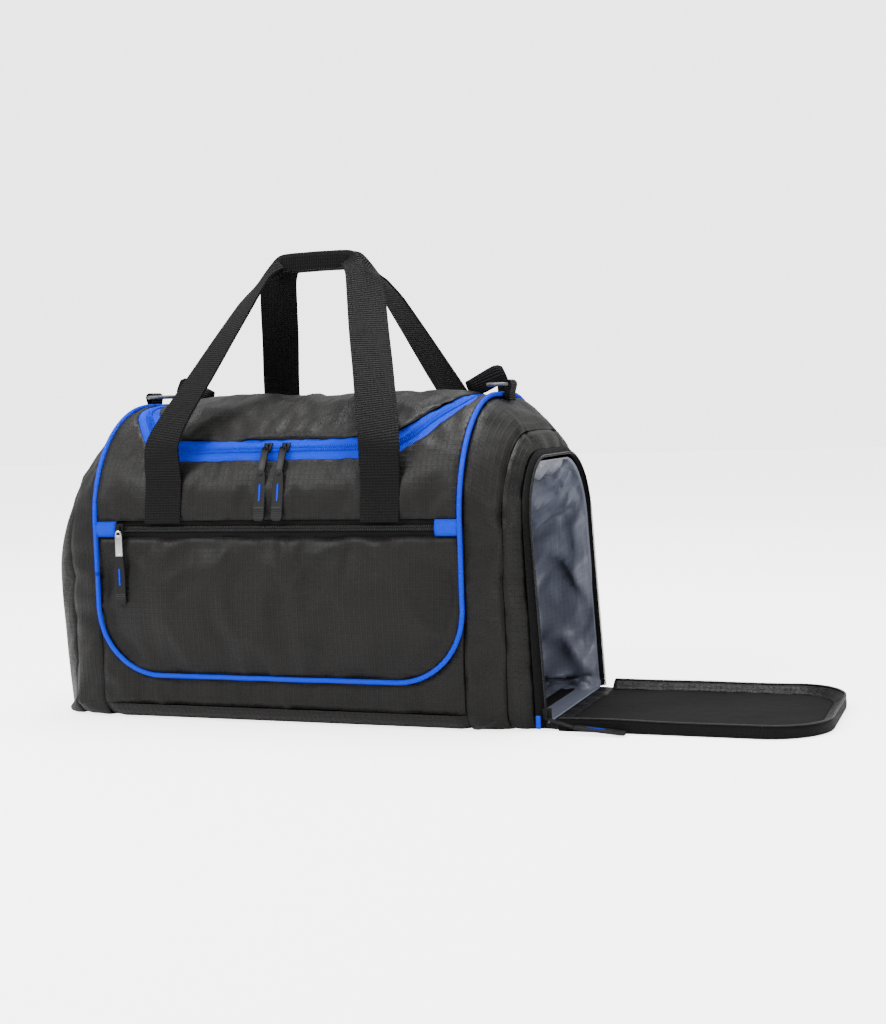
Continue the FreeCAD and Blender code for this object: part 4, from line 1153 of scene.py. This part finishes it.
def lay_hinge_strip():
    """Cloth that carries on from the base of the bag into the flap."""
    low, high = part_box("flap_hinge_strip")
    xs = np.linspace(low[0] - 0.014, high[0] + 0.003, 13)
    ys = np.linspace(-0.1015, 0.1015, 60)
    x, y = np.meshgrid(xs, ys, indexing="ij")
    z = 0.0021 + 0.0008 * np.sin((x - xs[0]) / (xs[-1] - xs[0]) * math.pi) + 0.0005 * np.sin(y * 210)
    rails = np.stack([x, y, z], axis=-1)
    obj = band("flap fold", ("flap_hinge_strip",), rails, BINDING,
               uv=np.stack([x, y], axis=-1), centre=(0.25, 0, -5), thickness=0.001)
    cut_cloth(rails)


# ---------------------------------------------------------- sliders and pulls

def slider_shape(name):
    """Zip slider lying in its own frame: x across the jaws, y along the coil, z away from the bag."""
    bpy.ops.object.select_all(action="DESELECT")
    bpy.ops.mesh.primitive_cube_add(size=1)
    obj = bpy.context.active_object
    obj.name = name.replace(" ", "_")
    bpy.ops.object.mode_set(mode="EDIT")
    bpy.ops.mesh.select_all(action="SELECT")
    bpy.ops.transform.resize(value=(0.0088, 0.0108, 0.0019))
    bpy.ops.mesh.bevel(offset=0.0006, segments=2, affect="EDGES")
    bpy.ops.mesh.select_all(action="DESELECT")
    bpy.ops.mesh.primitive_cube_add(size=1, location=(0, 0, 0.0021))
    bpy.ops.transform.resize(value=(0.0026, 0.0078, 0.0026), center_override=(0, 0, 0.0021))
    bpy.ops.mesh.bevel(offset=0.0011, segments=3, affect="EDGES")
    bpy.ops.mesh.select_all(action="SELECT")
    bpy.ops.uv.cube_project(cube_size=1.0)
    bpy.ops.object.mode_set(mode="OBJECT")
    for vertex in obj.data.vertices:
        # the jaws narrow towards the tail, as a slider's do
        vertex.co.x *= 1.0 - 22.0 * max(0.0, -vertex.co.y)
    return obj


def settle(obj, centre, turn):
    obj.data.transform(Matrix.Translation(Vector(centre)) @ turn)
    return obj


def box_middle(node):
    low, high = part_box(node)
    return (np.array(low) + np.array(high)) / 2


def plate_shape(name, length):
    """Flat puller: a plain plate with a round eye at each end."""
    bpy.ops.object.select_all(action="DESELECT")
    bpy.ops.mesh.primitive_cube_add(size=1)
    obj = bpy.context.active_object
    obj.name = name.replace(" ", "_")
    bpy.ops.object.mode_set(mode="EDIT")
    bpy.ops.mesh.select_all(action="SELECT")
    bpy.ops.transform.resize(value=(0.0074, length - 0.0052, 0.0015))
    bpy.ops.transform.translate(value=(0, -length / 2 - 0.0006, 0))
    bpy.ops.mesh.bevel(offset=0.00055, segments=3, affect="EDGES")
    bpy.ops.mesh.select_all(action="DESELECT")
    for eye in (-0.0022, -length + 0.0012):
        bpy.ops.mesh.primitive_torus_add(major_radius=0.0026, minor_radius=0.0009, major_segments=24,
                                         minor_segments=8, location=(0, eye, 0))
    bpy.ops.mesh.select_all(action="SELECT")
    bpy.ops.uv.cube_project(cube_size=1.0)
    bpy.ops.object.mode_set(mode="OBJECT")
    return obj


def tongue_shape(name, length, width=0.0112, thick=0.0026):
    """Moulded pull tab: waisted below its eye, ribbed grip near its lower end."""
    bpy.ops.object.select_all(action="DESELECT")
    bpy.ops.mesh.primitive_grid_add(x_subdivisions=8, y_subdivisions=44, size=1)
    obj = bpy.context.active_object
    obj.name = name.replace(" ", "_")
    for vertex in obj.data.vertices:
        t = 0.5 - vertex.co.y
        across = vertex.co.x
        end = min(t, 1 - t) * length
        corner = 0.004
        narrow = 1.0 if end > corner else math.sqrt(max(0.0, 1 - (1 - end / corner) ** 2)) * 0.45 + 0.55
        shape = width * (0.86 + 0.14 * min(1, max(0, (t - 0.12) / 0.2)))
        vertex.co = (across * shape * narrow, -t * length, 0)
    bpy.ops.object.mode_set(mode="EDIT")
    bpy.ops.mesh.select_all(action="SELECT")
    bpy.ops.uv.cube_project(cube_size=1.0)
    bpy.ops.object.mode_set(mode="OBJECT")
    for vertex in obj.data.vertices:
        t = -vertex.co.y / length
        if 0.74 < t < 0.95:
            vertex.co.z += 0.00045 * math.sin((t - 0.74) * length / 0.0011 * math.pi)
    skin_mod = obj.modifiers.new("thickness", "SOLIDIFY")
    skin_mod.thickness = thick
    skin_mod.offset = 0
    soft = obj.modifiers.new("edge", "BEVEL")
    soft.width = 0.0007
    soft.segments = 3
    soft.limit_method = "ANGLE"
    for modifier in ("thickness", "edge"):
        bpy.ops.object.modifier_apply(modifier=modifier)
    return obj


def mark_shape(name, length, thick):
    """The short blue bar moulded into the face of a pull tab."""
    bpy.ops.object.select_all(action="DESELECT")
    bpy.ops.mesh.primitive_cube_add(size=1)
    obj = bpy.context.active_object
    obj.name = name.replace(" ", "_")
    bpy.ops.object.mode_set(mode="EDIT")
    bpy.ops.mesh.select_all(action="SELECT")
    bpy.ops.transform.resize(value=(0.0017, length * 0.34, thick + 0.0008))
    bpy.ops.transform.translate(value=(0, -length * 0.42, 0))
    bpy.ops.mesh.bevel(offset=0.0003, segments=2, affect="EDGES")
    bpy.ops.uv.cube_project(cube_size=1.0)
    bpy.ops.object.mode_set(mode="OBJECT")
    return obj


def joint_of(name):
    return [j for j in frame["joints"] if j["name"] == name][0]


def hang_pulls():
    lean = math.radians(90 - 37.4)
    sets = []
    for side in ("left", "right"):
        sets.append(("top_slider_" + side, "top_slide_" + side, Matrix.Rotation(lean, 4, "X"),
                     "top_puller_" + side, "top_link_" + side, "top_puller_%s_hinge" % side, PAINT,
                     "slider_paint", "top_pull_tab_" + side, "top_tab_" + side,
                     "top_tab_%s_hinge" % side, False))
    upright = Matrix.Rotation(math.radians(90), 4, "X")
    sets.append(("pocket_slider", "pocket_slide", upright, "pocket_puller", "pocket_link",
                 "pocket_puller_hinge", ZINC, "puller_metal", "pocket_pull_tab", "pocket_tab",
                 "pocket_tab_hinge", False))
    sets.append(("end_slider", "end_slide", Matrix.Rotation(math.radians(-3.2), 4, "Y") @ upright,
                 "end_puller", "end_link", "end_puller_hinge", PAINT, "slider_paint", "end_pull_tab",
                 "end_tab", "end_tab_hinge", True))
    for (slider, slide_body, turn, puller, link_body, link_joint, link_finish, link_slot,
         tab, tab_body, tab_joint, on_floor) in sets:
        body = slider_shape(slider.replace("_", " "))
        settle(body, box_middle(slider), turn)
        finish_piece(body, (slider,), PAINT, slide_body)
        start = Vector(joint_of(link_joint)["pos_m"])
        knuckle = Vector(joint_of(tab_joint)["pos_m"])
        end_low, end_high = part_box(tab)
        if on_floor:
            far = Vector((end_high[0], knuckle.y, 0.0022))
        else:
            hangs_at = knuckle.y if tab.startswith("pocket") else end_low[1] + 0.0016
            far = Vector((knuckle.x, hangs_at, end_low[2]))
        for piece, a, b, node, finish, slot, rider in (
                ("link", start, knuckle, puller, link_finish, link_slot, link_body),
                ("tab", knuckle, far, tab, RUBBER, "pull_tab", tab_body)):
            way = (b - a).normalized()
            across = Vector((0, 1, 0)) if on_floor else Vector((1, 0, 0))
            out = across.cross(-way).normalized()
            across = (-way).cross(out)
            basis = Matrix((across, -way, out)).transposed().to_4x4()
            if out.y > 0.1 or out.z < -0.5:
                basis = basis @ Matrix.Rotation(math.pi, 4, "Y")
            length = (b - a).length
            name = node.replace("_", " ")
            if piece == "link":
                obj = plate_shape(name, length + 0.0024)
                settle(obj, a, basis)
            else:
                obj = tongue_shape(name, length - 0.001)
                settle(obj, a, basis)
                bar = mark_shape(name + " mark", length, 0.0026)
                settle(bar, a, basis)
                finish_piece(bar, (), BLUE, rider)
            finish_piece(obj, (node,), finish, rider)


# ------------------------------------------------------------ rings and tabs

def strap_rings():
    for side, sign in (("left", -1), ("right", 1)):
        joint = joint_of("ring_%s_hinge" % side)
        x, _, z = joint["pos_m"]
        ring = [(0.0, v) for v in np.linspace(-0.0115, 0.0115, 9)]
        ring += [(0.001, 0.0127), (0.003, 0.013), (0.0078, 0.013)]
        ring += [(0.008 + 0.013 * math.sin(a), 0.013 * math.cos(a))
                 for a in np.linspace(0.12, math.pi - 0.12, 22)]
        ring += [(0.0078, -0.013), (0.003, -0.013), (0.001, -0.0127)]
        line = np.array([(x - sign * a, b, z) for a, b in ring])
        tube("strap ring " + side, ("strap_ring_" + side,), line, 0.0019, RING_GREY,
             "ring_" + side, closed=True, sides=12)
        low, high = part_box("ring_tab_" + side)
        fold = 0.0040
        profile = [(-0.0018, low[2] - 0.001), (-0.0020, z - 0.008)]
        profile += [(fold * math.cos(a), z + fold * math.sin(a))
                    for a in np.linspace(math.radians(200), math.radians(-20), 16)]
        profile += [(0.0020, z - 0.008), (0.0018, low[2] - 0.001)]
        ys = np.linspace(-0.0098, 0.0098, 9)
        rails = [[(x + a, yy, b) for a, b in profile] for yy in ys]
        tab = band("ring tab " + side, ("ring_tab_" + side,), rails, WEBBING,
                   centre=(x, 0, z), thickness=0.0)
        thicken(tab, 0.0013, 0.0)
        # the webbing grab tab over the end of the zip: folded double, its tunnel open at the low inner end
        low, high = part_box("end_tab_" + side)
        middle_y = (low[1] + high[1]) / 2
        stations = [((0.1430, 0.3080), 0.0075, 0.0056), ((0.1500, 0.3102), 0.0086, 0.0048),
                    ((0.1580, 0.3130), 0.0100, 0.0038), ((0.1660, 0.3156), 0.0114, 0.0030),
                    ((0.1730, 0.3180), 0.0122, 0.0026), ((0.1775, 0.3196), 0.0112, 0.0023),
                    ((0.1805, 0.3206), 0.0084, 0.0019)]
        rise = np.array([-math.sin(math.radians(24)), 0, math.cos(math.radians(24))])
        angles = np.linspace(0, 2 * math.pi, 33)
        rails = []
        for (at_x, at_z), tall, deep in stations:
            ring = []
            for angle in angles:
                squash = math.copysign(abs(math.sin(angle)) ** 0.7, math.sin(angle))
                up = math.cos(angle)
                drawn_in = np.interp(at_x, [0.152, 0.170], [1.0, 0.52]) if up < 0 else 1.0
                middle = np.array([at_x, middle_y, at_z])
                spot = middle + rise * tall * drawn_in * up + np.array([0, deep * squash, 0])
                ring.append((sign * spot[0], spot[1], spot[2]))
            rails.append(ring)
        centres = np.array([(sign * p[0][0], middle_y, p[0][1]) for p in stations])
        uv = np.stack(np.meshgrid(np.linspace(0, 0.036, len(stations)), angles * 0.009, indexing="ij"),
                      axis=-1)
        flag_body = ("left" if sign < 0 else "right") + "_flag"
        flag = band("end tab " + side, ("end_tab_" + side,), rails, WEBBING, flag_body,
                    centre=tuple(centres[3]), thickness=0.0, uv=uv)
        thicken(flag, 0.0014, 0.0)
        near, far = sorted((sign * 0.1725, sign * 0.1835))
        soft_box("end tab root " + side, None, (near, middle_y - 0.0022, 0.3010),
                 (far, middle_y + 0.0022, 0.3130), WEBBING, flag_body, bevel=0.0010)


def paint_hidden_nodes():
    """Parts that stay as they were designed: the board and the pocket's back."""
    for node, finish in (("base_board", RUBBER), ("pocket_back", GREY)):
        obj = frame["nodes"][node]
        obj.data.materials.clear()
        obj.data.materials.append(finish)


# ------------------------------------------------------------------- the studio

def light_studio():
    scene = bpy.context.scene
    bpy.ops.mesh.primitive_plane_add(size=14, location=(0, 0, -0.0005))
    floor = bpy.context.active_object
    floor.name = "studio_floor"
    pale = Finish("studio floor", (0.93, 0.93, 0.93), 0.7, Specular_IOR_Level=0.2)
    glow = pale.node("ShaderNodeEmission", 0, sockets={"Strength": 10.2})
    seen = pale.node("ShaderNodeLightPath", "Is Camera Ray") * 0.3
    shown = pale.node("ShaderNodeMixShader", 0, seen, Value(pale, pale.shader.outputs[0]), glow)
    pale.tree.links.new(shown.socket, pale.tree.nodes["Material Output"].inputs["Surface"])
    floor.data.materials.append(pale.material)
    world = bpy.data.worlds.new("studio")
    world.use_nodes = True
    world.node_tree.nodes["Background"].inputs["Color"].default_value = (1, 1, 1, 1)
    wires = world.node_tree
    wires.nodes["Background"].inputs["Strength"].default_value = 1.15
    plain = wires.nodes.new("ShaderNodeBackground")
    plain.inputs["Strength"].default_value = 4.4
    path = wires.nodes.new("ShaderNodeLightPath")
    mix = wires.nodes.new("ShaderNodeMixShader")
    wires.links.new(path.outputs["Is Camera Ray"], mix.inputs[0])
    wires.links.new(wires.nodes["Background"].outputs[0], mix.inputs[1])
    wires.links.new(plain.outputs[0], mix.inputs[2])
    wires.links.new(mix.outputs[0], wires.nodes["World Output"].inputs[0])
    scene.world = world
    for name, place, aim, size, power in (
            ("key", (-1.2, -1.7, 1.9), (0, 0, 0.15), 0.9, 130),
            ("fill", (2.2, -1.6, 0.9), (0.1, 0, 0.15), 0.8, 60),
            ("top", (0.1, 0.3, 2.2), (0, 0, 0.2), 1.0, 110)):
        data = bpy.data.lights.new(name, "AREA")
        data.energy = power
        data.size = size
        lamp = bpy.data.objects.new(name, data)
        lamp.location = place
        lamp.rotation_euler = (Vector(aim) - Vector(place)).to_track_quat("-Z", "Y").to_euler()
        scene.collection.objects.link(lamp)


def set_camera():
    """Eye level with the top of the bag, a little to the right of it."""
    yaw, pitch, roll = (math.radians(a) for a in (20.45, -3.86, -1.94))
    forward = np.array([-math.sin(yaw) * math.cos(pitch), math.cos(yaw) * math.cos(pitch), math.sin(pitch)])
    right = np.array([math.cos(yaw), math.sin(yaw), 0])
    up = np.cross(right, forward)
    right, up = right * math.cos(roll) + up * math.sin(roll), up * math.cos(roll) - right * math.sin(roll)
    data = bpy.data.cameras.new("camera")
    data.sensor_fit = "AUTO"
    data.sensor_width = 36
    data.lens = 36 * 1589 / 1024
    camera = bpy.data.objects.new("camera", data)
    turn = Matrix((right, up, -forward)).transposed().to_4x4()
    camera.matrix_world = Matrix.Translation((0.661, -1.447, 0.2935)) @ turn
    bpy.context.scene.collection.objects.link(camera)
    bpy.context.scene.camera = camera


sew_panels()
sew_ends()
bind_seams()
hang_lid_hinge()
sew_piping()
sew_top_zip()
sew_pocket_zip()
sew_blue_ends()
make_handles()
hang_lining()
sew_end_zip()
lay_flap()
lay_hinge_strip()
hang_pulls()
strap_rings()
paint_hidden_nodes()
light_studio()
set_camera()
